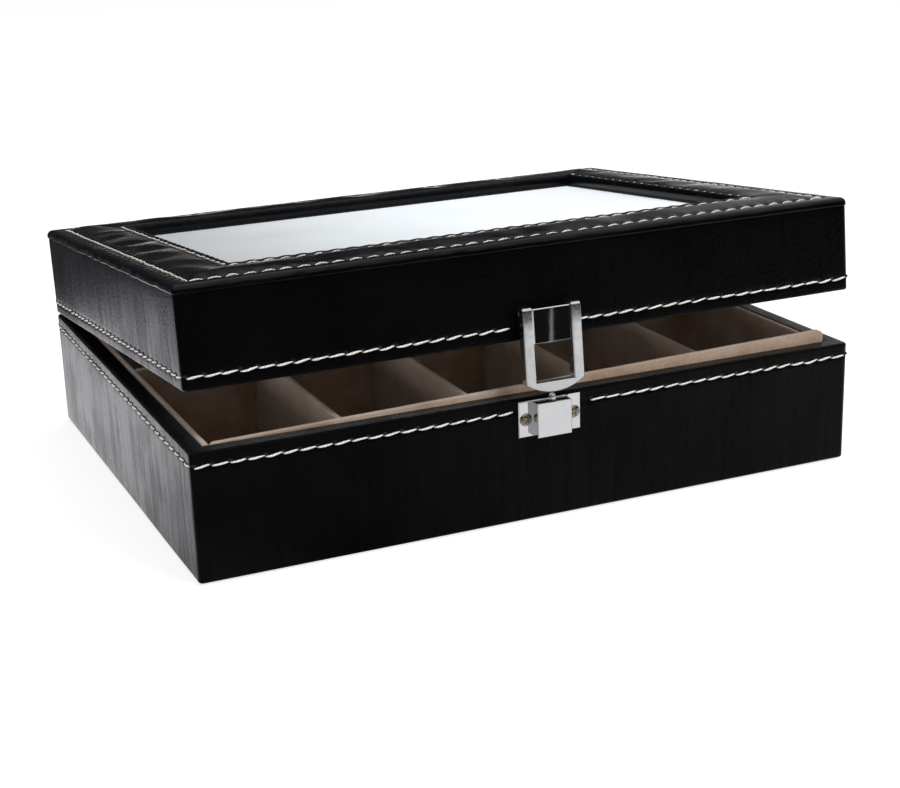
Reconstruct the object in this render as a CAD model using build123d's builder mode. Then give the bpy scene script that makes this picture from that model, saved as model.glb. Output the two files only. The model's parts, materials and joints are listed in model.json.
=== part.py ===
from build123d import *
from math import asin, degrees
import os

# A watch box: a leathered base with ten velvet compartments and a glazed, padded lid.
# Two butt hinges carry the lid at the back, and a chrome hasp closes it at the front.
# Millimetres and degrees. X runs along the front, +Y to the hinges, +Z up.
# The origin is the middle of the underside. Lid pieces are drawn closed and then opened.

# Overall sizes
box_width = 260.0
box_depth = 200.0
base_height = 47.0
lid_height = 32.0           # lower edge of the lid to the seam under its padded top
closed_gap = 0.3            # between the two leathered rims
lid_lift = 20.4             # the front edge of the lid stands ajar by this much

# Walls and their covering
wall_board = 5.0
floor_board = 3.0
leather = 0.6
corner_radius = 1.8         # upright corners
rim_radius = 1.0            # leather rolled over an outer edge
turn_in = 12.0              # leather turned down inside the mouth
turn_under = 10.0           # leather turned under the floor
felt = 0.5
felt_inset = 5.0

# Linings and dividers
card = 2.4                  # velvet-covered boards that stand in the base
velvet_round = 0.8          # soft upper edge of a covered board
card_gap = 0.1              # between one covered board and the next
lining_gap = 0.2            # between a lining and the leather turned in behind it
floor_card = 1.5
columns = 5
divider = 2.4
slot_play = 0.1             # in the halved joints of the dividers
cross_divider_y = 3.0
front_board_lift = 4.4      # the loose front board stands this much higher at its right end
board_corner = 2.0

# Lid
lid_card = 2.0
lid_lining_rise = 6.0       # the lid's lining starts this far above its lower edge
window_border = 28.5        # outer edge of the padded frame to the edge of its window
pad_board = 1.6
pad_turn = 8.0              # leather turned under the pad board
pad_margin = 3.0            # height of the flat outer margin over the seam
pad_lip = 3.6               # height of the flat margin round the window
pad_crown = 4.4             # height of the padding between the stitch rows
pad_overhang = 0.4
pad_roll = 2.0              # radius of its outer upper edge
pad_heel = 0.4              # radius of its outer lower edge
lip_roll = 1.6              # radius of the edge that rolls down into the window
outer_stitch = 6.6          # stitch rows, measured in from the outer edge
inner_stitch = 25.6
stitch_channel = 0.5        # half width of the channel that a stitch row draws in
channel_depth = 0.4
gasket = 1.0
gasket_width = 6.0
glass = 2.0
glass_border = 10.0         # glass held behind the edge of the window
glass_play = 0.3
inner_frame = 2.5

# Hinges
hinge_x = 75.0
hinge_width = 24.0
hinge_leaf_height = 11.0
hinge_leaf = 0.8
hinge_leaf_corner = 2.0
knuckle_radius = 1.55
knuckle_clear = 0.2         # knuckle to leather
knuckles = 3
knuckle_gap = 0.12
hinge_pin_radius = 0.7
pin_clearance = 0.05
tack_spacing = 15.0
tack_head = 1.6             # radius
tack_rise = 0.5
tack_shank = 1.6            # side of its square section
tack_length = 4.5

# Latch, on the front of base and lid
latch_x = 1.5               # to the right of the middle
plate_width = 24.6
plate_height = 13.4
plate = 0.8
plate_drop = 1.3            # top of the catch plate under the rim
block_width = 13.6
block_height = 12.6
block_depth = 4.2
block_drop = 0.5            # top of the catch block under the top of its plate
ball_radius = 1.4
ball_travel = 1.2
ball_play = 0.1
stem_radius = 0.8
collar_radius = 1.1
collar = 1.0
stem_length = 5.0
spring_wire = 0.4           # side of its square section
spring_turns = 4
spring_reserve = 2.0        # left between the coils with the ball pushed right down
arm_width = 3.9
arm_depth = 3.7
arm_clear = 0.4             # back of the arms to the screw heads that they close over
hasp_play = 0.7             # beside the catch block
hasp_hook_gap = 0.3         # between the bar of the hasp and the block that it hooks under
hasp_bow = 3.7              # height of the curve along its lower edge
knuckle_back = 0.4          # back of the arms at the pin, off the leather
hasp_pin_radius = 0.75
hasp_pin_rise = 10.2        # over the rim of the base, with the lid closed
pin_to_arm_top = 2.2
arm_corner = 1.5
bracket_play = 0.2          # between the bracket and each arm
bracket_rise = 0.4          # over the catch plate
pin_to_bracket_top = 1.4
socket_play = 0.25          # round the ball, with the lid closed
spike_spacing = 8.0
spike_rise = 8.2            # over the rim of the base, with the lid closed
spike = 1.6                 # side of its square section
spike_length = 4.5
spike_play = 0.05
metal_edge = 0.3            # broken edges of the latch

# Screws of the catch plate
screw_radius = 1.0
screw_length = 4.5
screw_clearance = 0.05
screw_head = 2.4
screw_head_top = 1.3
screw_rise = 0.7

# Places worked out from the sizes
cavity_x = box_width / 2 - leather - wall_board
cavity_y = box_depth / 2 - leather - wall_board
lining_x = cavity_x - leather - lining_gap
lining_y = cavity_y - leather - lining_gap
card_x = lining_x - card
card_y = lining_y - card
board_bottom = felt + leather
floor_top = board_bottom + floor_board
inside_floor = floor_top + floor_card
lid_low = base_height + closed_gap
seam = lid_low + lid_height
window_x = box_width / 2 - window_border
window_y = box_depth / 2 - window_border
glass_top = seam - gasket
spacer = gasket + glass
frame_top = seam - spacer
frame_low = frame_top - inner_frame
hinge_y = box_depth / 2 + knuckle_clear + knuckle_radius
hinge_z = base_height + closed_gap / 2
plate_top = base_height - plate_drop
plate_middle = plate_top - plate_height / 2
block_top = plate_top - block_drop
block_front = plate + block_depth
ball_out = plate + block_depth / 2
hasp_inner = block_width + 2 * hasp_play
hasp_outer = hasp_inner + 2 * arm_width
hasp_bar_top = block_top - block_height - hasp_hook_gap
plate_screw_spacing = (plate_width + block_width) / 2
arm_back = plate + screw_rise + arm_clear
arm_front = arm_back + arm_depth
pin_out = (knuckle_back + arm_front) / 2
front = Plane(origin=(latch_x, -box_depth / 2, 0), x_dir=(1, 0, 0), z_dir=(0, -1, 0))
rear = Plane(origin=(0, box_depth / 2, 0), x_dir=(-1, 0, 0), z_dir=(0, 1, 0))
lid_axis = Axis((0, hinge_y, hinge_z), (1, 0, 0))
rest_opening = degrees(asin(lid_lift / (hinge_y + box_depth / 2)))
hasp_pin_height = base_height + hasp_pin_rise

os.makedirs("parts", exist_ok=True)


def keep(piece, name, opened=False):
    """Labels one finished piece, opens it with the lid where asked, and writes it."""
    placed = piece.rotate(lid_axis, -rest_opening) if opened else piece
    placed.label = name
    export_step(placed, f"parts/{name}.step")


def covering(low, high, mouth, turned):
    """Leather round the walls: turned in at the mouth, and turned over the other edge by turned."""
    inward = -1 if mouth == high else 1
    closed_edge = low if mouth == high else high
    with BuildPart() as skin:
        with BuildSketch(Plane.XY.offset(low)):
            RectangleRounded(box_width, box_depth, corner_radius)
        extrude(amount=high - low)
        rolled = skin.faces().filter_by(Axis.Z) if mouth == high else skin.faces().sort_by(Axis.Z)[:1]
        fillet(rolled.edges(), rim_radius)
        with BuildSketch(Plane.XY.offset(low + leather)):
            RectangleRounded(box_width - 2 * leather, box_depth - 2 * leather, corner_radius - leather)
        extrude(amount=high - low - 2 * leather, mode=Mode.SUBTRACT)
        with BuildSketch(Plane.XY.offset(mouth)):
            Rectangle(2 * (cavity_x - leather), 2 * (cavity_y - leather))
        extrude(amount=inward * 2 * leather, mode=Mode.SUBTRACT)
        with BuildSketch(Plane.XY.offset(closed_edge)):
            Rectangle(box_width - 2 * turned, box_depth - 2 * turned)
        extrude(amount=-inward * 2 * leather, mode=Mode.SUBTRACT)
        with BuildSketch(Plane.XY.offset(mouth + inward * leather)):
            Rectangle(2 * cavity_x, 2 * cavity_y)
            Rectangle(2 * (cavity_x - leather), 2 * (cavity_y - leather), mode=Mode.SUBTRACT)
        extrude(amount=inward * (turn_in - leather))
    return skin


def long_wall(side, low, high):
    """Front wall board (side -1) or rear wall board (side 1), over the whole width."""
    outer = box_depth / 2 - leather
    with BuildPart() as wall:
        with BuildSketch(Plane.XY.offset(low)) as outline:
            with Locations((0, side * (outer - wall_board / 2))):
                Rectangle(box_width - 2 * leather, wall_board)
            outer_corners = outline.vertices().group_by(Axis.Y)[-1 if side > 0 else 0]
            fillet(outer_corners, corner_radius - leather)
        extrude(amount=high - low)
    return wall


def end_wall(side, low, high):
    """Left wall board (side -1) or right wall board (side 1), between the long ones."""
    with BuildPart() as wall:
        with BuildSketch(Plane.XY.offset(low)):
            with Locations((side * (cavity_x + wall_board / 2), 0)):
                Rectangle(wall_board, 2 * cavity_y)
        extrude(amount=high - low)
    return wall


def sheet(half_x, half_y, low, thickness, hole_x=0.0, hole_y=0.0):
    """A flat board, pane or frame about the middle of the box."""
    with BuildPart() as board:
        with BuildSketch(Plane.XY.offset(low)):
            Rectangle(2 * half_x, 2 * half_y)
            if hole_x > 0:
                Rectangle(2 * hole_x, 2 * hole_y, mode=Mode.SUBTRACT)
        extrude(amount=thickness)
    return board


def upright_card(x_low, x_high, y_low, y_high, low, high, thickness):
    """A velvet-covered board on its edge, its upper edge rounded."""
    with BuildPart() as board:
        with BuildSketch(Plane.XY.offset(low)):
            with Locations(((x_low + x_high) / 2, (y_low + y_high) / 2)):
                Rectangle(x_high - x_low, y_high - y_low)
        extrude(amount=high - low)
        along = Axis.X if x_high - x_low > y_high - y_low else Axis.Y
        upper = board.edges().filter_by(along).group_by(Axis.Z)[-1]
        fillet(upper, min(velvet_round, 0.45 * thickness))
    return board


def drill(plane, spots, radius, depth):
    """Sinks one plain hole at each spot of a plane into the part being built."""
    with Locations(plane):
        with Locations(*spots):
            Hole(radius, depth)


def pair(spacing, height, middle=0.0):
    """Two spots side by side at one height."""
    return [(middle - spacing / 2, height), (middle + spacing / 2, height)]


def screws(plane, spots, length):
    """Screws with a low cone of a head at each spot of a plane, one solid each."""
    with BuildPart(mode=Mode.PRIVATE) as one:
        with BuildSketch(Plane.XZ):
            with BuildLine():
                Polyline(
                    (0, screw_rise), (screw_head_top, screw_rise), (screw_head, 0), (screw_radius, 0),
                    (screw_radius, -length), (0, -length), close=True)
            make_face()
        revolve(axis=Axis.Z)
    with BuildPart() as group:
        with Locations(plane):
            with Locations(*spots):
                add(one.part)
    return group


def mortise(plane, spots, side, depth):
    """Sinks one square hole at each spot of a plane into the part being built."""
    with BuildSketch(plane) as squares:
        with Locations(*spots):
            Rectangle(side, side)
    extrude(squares.sketch, amount=-depth, mode=Mode.SUBTRACT)


def tacks(plane, spots):
    """Flat-headed tacks with square shanks through a hinge leaf, one solid each."""
    with BuildPart() as group:
        with BuildSketch(plane):
            with Locations(*spots):
                Circle(tack_head)
        extrude(amount=tack_rise)
        with BuildSketch(plane):
            with Locations(*spots):
                Rectangle(tack_shank, tack_shank)
        extrude(amount=-tack_length)
    return group


# Places of the fasteners, on the front and rear planes
catch_spots = pair(plate_screw_spacing, plate_middle)
spike_spots = pair(spike_spacing, base_height + spike_rise)
tongue = knuckle_radius + knuckle_clear
leaf_low = hinge_z - tongue - hinge_leaf_height / 2
leaf_high = hinge_z + tongue + hinge_leaf_height / 2
base_tack_spots = [spot for x in (-hinge_x, hinge_x) for spot in pair(tack_spacing, leaf_low, x)]
lid_tack_spots = [spot for x in (-hinge_x, hinge_x) for spot in pair(tack_spacing, leaf_high, x)]
pilot = screw_radius + screw_clearance
pilot_depth = screw_length + screw_clearance
tack_hole = tack_shank + 2 * spike_play
tack_depth = tack_length - hinge_leaf + spike_play
spike_hole = spike + 2 * spike_play

# Leather of the base, with the holes of screws and tacks through it
base_cover = covering(felt, base_height, base_height, turn_under)
with base_cover:
    drill(front, catch_spots, pilot, pilot_depth)
    mortise(rear, base_tack_spots, tack_hole, tack_depth)
keep(base_cover.part, "base_cover")

# Four wall boards of the base and the floor board between them
wall_top = base_height - leather
base_front_wall = long_wall(-1, board_bottom, wall_top)
with base_front_wall:
    drill(front, catch_spots, pilot, pilot_depth)
base_rear_wall = long_wall(1, board_bottom, wall_top)
with base_rear_wall:
    mortise(rear, base_tack_spots, tack_hole, tack_depth)
keep(base_front_wall.part, "base_front_wall")
keep(base_rear_wall.part, "base_rear_wall")
keep(end_wall(-1, board_bottom, wall_top).part, "base_left_wall")
keep(end_wall(1, board_bottom, wall_top).part, "base_right_wall")
keep(sheet(cavity_x, cavity_y, board_bottom, floor_board).part, "base_floor")

# Felt that the box stands on. It lies on the leather turned under the floor and fills what that leaves.
with BuildPart() as underside_felt:
    with BuildSketch():
        Rectangle(box_width - 2 * felt_inset, box_depth - 2 * felt_inset)
    extrude(amount=felt)
    with BuildSketch(Plane.XY.offset(felt)):
        Rectangle(box_width - 2 * turn_under, box_depth - 2 * turn_under)
    extrude(amount=leather)
keep(underside_felt.part, "underside_felt")

# Linings of the base
keep(sheet(cavity_x, cavity_y, floor_top, floor_card).part, "floor_lining")
front_board_back = -lining_y + card
linings = {
    "left_lining": (-lining_x, -card_x, -lining_y, lining_y),
    "right_lining": (card_x, lining_x, front_board_back + card_gap, lining_y),
    "rear_lining": (-card_x + card_gap, card_x - card_gap, card_y, lining_y),
}
for name, (x_low, x_high, y_low, y_high) in linings.items():
    keep(upright_card(x_low, x_high, y_low, y_high, inside_floor, base_height, card).part, name)

# The loose front board stands on its lower left corner and is lifted at its right end
card_height = base_height - inside_floor
board_run = lining_x - card_gap - (card_gap - card_x)
lift_slope = front_board_lift / board_run
lift_x = 1 / (1 + lift_slope ** 2) ** 0.5
lift_z = lift_slope * lift_x
foot_x = card_gap - card_x + card_height * lift_z
board_length = (lining_x - foot_x) * lift_x
lifted = Plane(origin=(foot_x, -lining_y, inside_floor), x_dir=(lift_x, 0, lift_z), z_dir=(0, -1, 0))
with BuildPart() as front_board:
    with BuildSketch(lifted) as outline:
        Rectangle(board_length, card_height, align=(Align.MIN, Align.MIN))
        fillet(outline.vertices().group_by(Axis.Y)[-1], board_corner)
    extrude(amount=-card)
keep(front_board.part, "front_board")

# Dividers, halved together: the long ones are slotted from below and the cross one from above
divider_front = front_board_back + card_gap
divider_rear = card_y - card_gap
slot = divider + 2 * slot_play
slot_height = card_height / 2
from_below = (Align.CENTER, Align.CENTER, Align.MIN)
pitch = (2 * card_x - (columns - 1) * divider) / columns + divider
divider_xs = [pitch * (i - columns / 2) for i in range(1, columns)]
for number, x in enumerate(divider_xs, start=1):
    sides = (x - divider / 2, x + divider / 2, divider_front, divider_rear)
    long_divider = upright_card(*sides, inside_floor, base_height, divider)
    with long_divider:
        with Locations((x, cross_divider_y, inside_floor)):
            Box(2 * divider, slot, slot_height, align=from_below, mode=Mode.SUBTRACT)
    keep(long_divider.part, f"divider_{number}")
cross_front, cross_rear = cross_divider_y - divider / 2, cross_divider_y + divider / 2
sides = (-card_x + card_gap, card_x - card_gap, cross_front, cross_rear)
cross_divider = upright_card(*sides, inside_floor, base_height, divider)
with cross_divider:
    with Locations(*[(x, cross_divider_y, inside_floor + slot_height) for x in divider_xs]):
        Box(slot, 2 * divider, slot_height, align=from_below, mode=Mode.SUBTRACT)
keep(cross_divider.part, "cross_divider")

# Leather of the lid, its mouth downwards, and the four wall boards in it
lid_cover = covering(lid_low, seam, lid_low, leather + wall_board)
lid_front_wall = long_wall(-1, lid_low + leather, seam - leather)
for pierced in (lid_cover, lid_front_wall):
    with pierced:
        mortise(front, spike_spots, spike_hole, spike_length + spike_play)
lid_rear_wall = long_wall(1, lid_low + leather, seam - leather)
for pierced in (lid_cover, lid_rear_wall):
    with pierced:
        mortise(rear, lid_tack_spots, tack_hole, tack_depth)
keep(lid_cover.part, "lid_cover", opened=True)
keep(lid_front_wall.part, "lid_front_wall", opened=True)
keep(lid_rear_wall.part, "lid_rear_wall", opened=True)
keep(end_wall(-1, lid_low + leather, seam - leather).part, "lid_left_wall", opened=True)
keep(end_wall(1, lid_low + leather, seam - leather).part, "lid_right_wall", opened=True)

# Glass in a spacer frame, under a gasket and over the lined inner frame
glass_x = window_x + glass_border
glass_y = window_y + glass_border
layers = {
    "glass_spacer": (cavity_x, cavity_y, frame_top, spacer, glass_x + glass_play, glass_y + glass_play),
    "glass_pane": (glass_x, glass_y, frame_top, glass),
    "glass_gasket": (window_x + gasket_width, window_y + gasket_width, glass_top, gasket, window_x, window_y),
    "lid_inner_frame": (cavity_x, cavity_y, frame_low, inner_frame, window_x, window_y),
}
for name, sizes in layers.items():
    keep(sheet(*sizes).part, name, opened=True)

# Lining strips inside the walls of the lid
strip_x = lining_x - lid_card
strip_y = lining_y - lid_card
strips = {
    "lid_left_lining": (-lining_x, -strip_x, -lining_y, lining_y),
    "lid_right_lining": (strip_x, lining_x, -lining_y, lining_y),
    "lid_front_lining": (-strip_x + card_gap, strip_x - card_gap, -lining_y, -strip_y),
    "lid_rear_lining": (-strip_x + card_gap, strip_x - card_gap, strip_y, lining_y),
}
for name, (x_low, x_high, y_low, y_high) in strips.items():
    with BuildPart() as strip:
        with BuildSketch(Plane.XY.offset(lid_low + lid_lining_rise)):
            with Locations(((x_low + x_high) / 2, (y_low + y_high) / 2)):
                Rectangle(x_high - x_low, y_high - y_low)
        extrude(amount=frame_low - lid_low - lid_lining_rise)
    keep(strip.part, name, opened=True)

# Pad board, and the leathered padding wrapped over it: a flat margin, a crown between the two
# stitch rows, and a lip that rolls down into the window. The section runs inward from the edge.
board_low = seam + leather
board_in = 2 * leather
board_x = box_width / 2 - board_in
board_y = box_depth / 2 - board_in
pad_sheet = sheet(board_x, board_y, board_low, pad_board, window_x + board_in, window_y + board_in)
keep(pad_sheet.part, "pad_board", opened=True)

crown_middle = (outer_stitch + inner_stitch) / 2
outer_channel = pad_margin - channel_depth
inner_channel = pad_lip - channel_depth
section = Plane(origin=(0, -box_depth / 2, seam), x_dir=(0, 1, 0), z_dir=(1, 0, 0))
with BuildPart() as padded_frame:
    with BuildLine() as round_the_edge:
        Polyline(
            (0, -box_depth / 2, seam), (box_width / 2, -box_depth / 2, seam),
            (box_width / 2, box_depth / 2, seam), (-box_width / 2, box_depth / 2, seam),
            (-box_width / 2, -box_depth / 2, seam), (0, -box_depth / 2, seam),
        )
    with BuildSketch(section) as profile:
        with BuildLine():
            Polyline(
                (pad_turn, 0), (-pad_overhang, 0), (-pad_overhang, pad_margin),
                (outer_stitch - stitch_channel, pad_margin))
            ThreePointArc(
                (outer_stitch - stitch_channel, pad_margin), (outer_stitch, outer_channel),
                (outer_stitch + stitch_channel, pad_margin))
            ThreePointArc(
                (outer_stitch + stitch_channel, pad_margin), (crown_middle, pad_crown),
                (inner_stitch - stitch_channel, pad_lip))
            ThreePointArc(
                (inner_stitch - stitch_channel, pad_lip), (inner_stitch, inner_channel),
                (inner_stitch + stitch_channel, pad_lip))
            Polyline(
                (inner_stitch + stitch_channel, pad_lip), (window_border, pad_lip), (window_border, 0),
                (window_border - pad_turn, 0), (window_border - pad_turn, leather),
                (window_border - board_in, leather), (window_border - board_in, leather + pad_board),
                (board_in, leather + pad_board), (board_in, leather), (pad_turn, leather), (pad_turn, 0))
        make_face()
        outer_corners = profile.vertices().group_by(Axis.X)[0].sort_by(Axis.Y)
        lip_corner = profile.vertices().group_by(Axis.X)[-1].sort_by(Axis.Y)[-1]
        fillet(outer_corners[0], pad_heel)
        fillet(outer_corners[-1], pad_roll)
        fillet(lip_corner, lip_roll)
    sweep(path=round_the_edge.line, transition=Transition.RIGHT)
keep(padded_frame.part, "padded_frame", opened=True)


def hinge_leaf_part(middle, side):
    """One leaf of the hinge at middle: side -1 lies on the base, side 1 on the lid."""
    share = hinge_width / knuckles
    with BuildPart() as leaf:
        with BuildSketch(rear) as outline:
            with Locations((-middle, hinge_z + side * (tongue + hinge_leaf_height / 2))):
                Rectangle(hinge_width, hinge_leaf_height)
            far = outline.vertices().group_by(Axis.Y)[-1 if side > 0 else 0]
            fillet(far, hinge_leaf_corner)
        extrude(amount=hinge_leaf)
        for number in range(0 if side < 0 else 1, knuckles, 2):
            start = middle - hinge_width / 2 + number * share
            with BuildSketch(Plane.YZ.offset(start + knuckle_gap / 2)):
                with Locations((box_depth / 2, hinge_z)):
                    Rectangle(hinge_leaf, tongue, align=(Align.MIN, Align.MIN if side > 0 else Align.MAX))
                with Locations((hinge_y, hinge_z)):
                    Circle(knuckle_radius)
            extrude(amount=share - knuckle_gap)
        with BuildSketch(Plane.YZ.offset(middle - hinge_width)):
            with Locations((hinge_y, hinge_z)):
                Circle(hinge_pin_radius + pin_clearance)
        extrude(amount=2 * hinge_width, mode=Mode.SUBTRACT)
        spots = base_tack_spots if side < 0 else lid_tack_spots
        mine = [spot for spot in spots if spot[0] * middle < 0]
        mortise(rear.offset(hinge_leaf), mine, tack_hole, hinge_leaf)
    return leaf


def round_pin(middle, radius, length, y, z):
    """A plain pin along X."""
    with BuildPart() as pin:
        with BuildSketch(Plane.YZ.offset(middle - length / 2)):
            with Locations((y, z)):
                Circle(radius)
        extrude(amount=length)
    return pin


# Two butt hinges with interleaved knuckles
for name, middle in (("left", -hinge_x), ("right", hinge_x)):
    keep(hinge_leaf_part(middle, -1).part, f"{name}_hinge_base_leaf")
    keep(hinge_leaf_part(middle, 1).part, f"{name}_hinge_lid_leaf", opened=True)
    pin = round_pin(middle, hinge_pin_radius, hinge_width + 2 * pin_clearance, hinge_y, hinge_z)
    keep(pin.part, f"{name}_hinge_pin")
on_leaf = rear.offset(hinge_leaf)
keep(tacks(on_leaf, base_tack_spots).part, "hinge_base_tacks")
keep(tacks(on_leaf, lid_tack_spots).part, "hinge_lid_tacks", opened=True)

# Catch plate on the front of the base
with BuildPart() as catch_plate:
    with BuildSketch(front):
        with Locations((0, plate_middle)):
            Rectangle(plate_width, plate_height)
    extrude(amount=plate)
    chamfer(catch_plate.faces().sort_by(Axis.Y)[0].edges(), metal_edge)
    drill(front.offset(plate), catch_spots, pilot, 2 * plate)
keep(catch_plate.part, "catch_plate")

# Catch block, bored for the ball plunger and its spring
bore_x, bore_y = latch_x, -box_depth / 2 - ball_out
collar_top = block_top + ball_play - stem_length
collar_low = collar_top - collar
coils_closed = spring_wire * (spring_turns + 1)
chamber_low = collar_low - ball_travel - coils_closed - spring_reserve
with BuildPart() as catch_block:
    with BuildSketch(front.offset(plate)):
        with Locations((0, block_top - block_height / 2)):
            Rectangle(block_width, block_height)
    extrude(amount=block_depth)
    chamfer(catch_block.faces().sort_by(Axis.Y)[0].edges(), metal_edge)
    with Locations((bore_x, bore_y, block_top)):
        Hole(stem_radius + pin_clearance, stem_length)
        Hole(ball_radius + ball_play, ball_travel + ball_play)
    with Locations((bore_x, bore_y, collar_top + pin_clearance)):
        Hole(collar_radius + pin_clearance, collar_top + pin_clearance - chamber_low)
keep(catch_block.part, "catch_block")

# Ball plunger: a ball on a stem, kept in by the collar that its spring pushes up
ball_middle = block_top + ball_play + ball_radius
ball_join = ball_middle - (ball_radius ** 2 - stem_radius ** 2) ** 0.5
with BuildPart() as catch_ball:
    with BuildSketch(Plane(origin=(bore_x, bore_y, 0), x_dir=(1, 0, 0), z_dir=(0, -1, 0))):
        with BuildLine():
            Polyline(
                (0, ball_middle + ball_radius), (0, collar_low), (collar_radius, collar_low),
                (collar_radius, collar_top), (stem_radius, collar_top), (stem_radius, ball_join))
            ThreePointArc(
                (stem_radius, ball_join), (ball_radius, ball_middle), (0, ball_middle + ball_radius))
        make_face()
    revolve(axis=Axis((bore_x, bore_y, 0), (0, 0, 1)))
keep(catch_ball.part, "catch_ball")

# Spring under the collar
spring_radius = collar_radius - spring_wire
spring_height = collar_low - chamber_low - spring_wire - 2 * pin_clearance
spring_foot = (bore_x, bore_y, chamber_low + spring_wire / 2 + pin_clearance)
with BuildPart() as catch_spring:
    with BuildLine() as coil:
        Helix(spring_height / spring_turns, spring_height, spring_radius, center=spring_foot)
    with BuildSketch(Plane(origin=coil.line @ 0, x_dir=(0, 0, 1), z_dir=coil.line % 0)):
        Rectangle(spring_wire, spring_wire)
    sweep(path=coil.line, is_frenet=True)
keep(catch_spring.part, "catch_spring")

# Screws of the catch plate
keep(screws(front.offset(plate), catch_spots, screw_length + plate).part, "catch_screws")

# Bracket on the front of the lid, held by two spikes in the wall, bored for the hasp's pin and
# hollowed under for the ball
bracket_low = plate_top + bracket_rise
bracket_top = hasp_pin_height + pin_to_bracket_top
bracket_width = hasp_inner - 2 * bracket_play
pin_y = -box_depth / 2 - pin_out
with BuildPart() as lid_bracket:
    with BuildSketch(front):
        with Locations((0, (bracket_low + bracket_top) / 2)):
            Rectangle(bracket_width, bracket_top - bracket_low)
    extrude(amount=block_front)
    chamfer(lid_bracket.faces().sort_by(Axis.Y)[0].edges(), metal_edge)
    with BuildSketch(Plane.YZ.offset(latch_x - bracket_width)):
        with Locations((pin_y, hasp_pin_height)):
            Circle(hasp_pin_radius + pin_clearance)
    extrude(amount=2 * bracket_width, mode=Mode.SUBTRACT)
    with BuildSketch(Plane.XY.offset(bracket_low)):
        with Locations((bore_x, bore_y)):
            Circle(ball_radius + socket_play)
    extrude(amount=ball_middle + ball_radius + socket_play - bracket_low, mode=Mode.SUBTRACT)
    with BuildSketch(front):
        with Locations(*spike_spots):
            Rectangle(spike, spike)
    extrude(amount=-spike_length)
keep(lid_bracket.part, "lid_bracket", opened=True)

# Hasp: the outline seen from the front, met with the arms seen from the side
arm_top = hasp_pin_height + pin_to_arm_top
outer = hasp_outer / 2
inner = hasp_inner / 2
heel_low = hasp_pin_height - pin_to_arm_top
heel_step = arm_back - knuckle_back
face_y = -box_depth / 2 - arm_front
back_y = -box_depth / 2 - arm_back
heel_y = -box_depth / 2 - knuckle_back
with BuildPart() as hasp:
    with BuildSketch(front):
        with BuildLine():
            Polyline(
                (-outer, hasp_bar_top), (-outer, arm_top), (-inner, arm_top), (-inner, hasp_bar_top),
                (inner, hasp_bar_top), (inner, arm_top), (outer, arm_top), (outer, hasp_bar_top))
            ThreePointArc((outer, hasp_bar_top), (0, hasp_bar_top - hasp_bow), (-outer, hasp_bar_top))
        make_face()
    extrude(amount=2 * arm_front)
    with BuildSketch(Plane.YZ.offset(latch_x - hasp_outer)) as side_view:
        with BuildLine():
            Polyline(
                (face_y, arm_top), (face_y, 0), (back_y, 0), (back_y, heel_low - heel_step),
                (heel_y, heel_low), (heel_y, arm_top), (face_y, arm_top))
        make_face()
        fillet(side_view.vertices().group_by(Axis.Y)[-1], arm_corner)
    extrude(amount=2 * hasp_outer, mode=Mode.INTERSECT)
    with BuildSketch(Plane.YZ.offset(latch_x - hasp_outer)):
        with Locations((pin_y, hasp_pin_height)):
            Circle(hasp_pin_radius + pin_clearance)
    extrude(amount=2 * hasp_outer, mode=Mode.SUBTRACT)
    chamfer(hasp.faces().sort_by(Axis.Y)[0].edges(), metal_edge)
keep(hasp.part, "hasp", opened=True)
hasp_pin = round_pin(latch_x, hasp_pin_radius, hasp_outer - 2 * pin_clearance, pin_y, hasp_pin_height)
keep(hasp_pin.part, "hasp_pin", opened=True)
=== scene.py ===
"""Looks of a leathered watch box: stitched covers, a padded and glazed lid, velvet cells and a chrome latch.

Lengths are written in millimetres and become metres where a mesh is made. Pieces of the lid are worked out
with the lid closed and are then turned open by the angle at which the lid rests.
"""

import json
import logging
import math
from dataclasses import dataclass, field
from enum import Enum

import bpy
import numpy as np
from mathutils import Matrix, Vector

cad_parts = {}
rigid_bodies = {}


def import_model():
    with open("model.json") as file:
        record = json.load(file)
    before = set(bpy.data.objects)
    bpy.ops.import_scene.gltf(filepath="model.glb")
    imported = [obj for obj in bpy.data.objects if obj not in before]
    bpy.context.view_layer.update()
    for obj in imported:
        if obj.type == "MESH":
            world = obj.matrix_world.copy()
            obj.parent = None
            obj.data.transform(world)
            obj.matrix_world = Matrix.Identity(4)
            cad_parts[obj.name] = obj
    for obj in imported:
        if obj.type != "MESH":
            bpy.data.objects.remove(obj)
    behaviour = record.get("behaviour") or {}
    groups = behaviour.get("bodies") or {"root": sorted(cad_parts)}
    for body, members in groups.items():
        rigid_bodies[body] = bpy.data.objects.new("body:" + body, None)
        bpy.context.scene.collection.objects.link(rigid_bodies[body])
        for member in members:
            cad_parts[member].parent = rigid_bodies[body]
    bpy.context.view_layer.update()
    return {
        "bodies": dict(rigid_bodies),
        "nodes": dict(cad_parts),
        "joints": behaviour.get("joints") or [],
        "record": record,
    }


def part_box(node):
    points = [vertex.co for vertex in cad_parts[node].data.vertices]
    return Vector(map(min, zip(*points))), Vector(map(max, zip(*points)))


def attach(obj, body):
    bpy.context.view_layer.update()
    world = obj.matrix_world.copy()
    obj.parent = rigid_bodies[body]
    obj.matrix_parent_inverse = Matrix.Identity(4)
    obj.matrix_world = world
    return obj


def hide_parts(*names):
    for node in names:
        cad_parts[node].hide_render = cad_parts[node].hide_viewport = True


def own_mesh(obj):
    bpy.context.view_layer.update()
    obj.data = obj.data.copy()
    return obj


MM = 0.001
ARC_STEP = 15.0  # degrees of an arc from one point of an outline to the next
SIDE_APART = 400.0  # millimetres from side to side where a wave is read, so that no side repeats another
WHITE = (1.0, 1.0, 1.0, 1.0)
log = logging.getLogger("watch_box")

Socket = bpy.types.NodeSocket
Triple = tuple[float, float, float]


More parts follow.
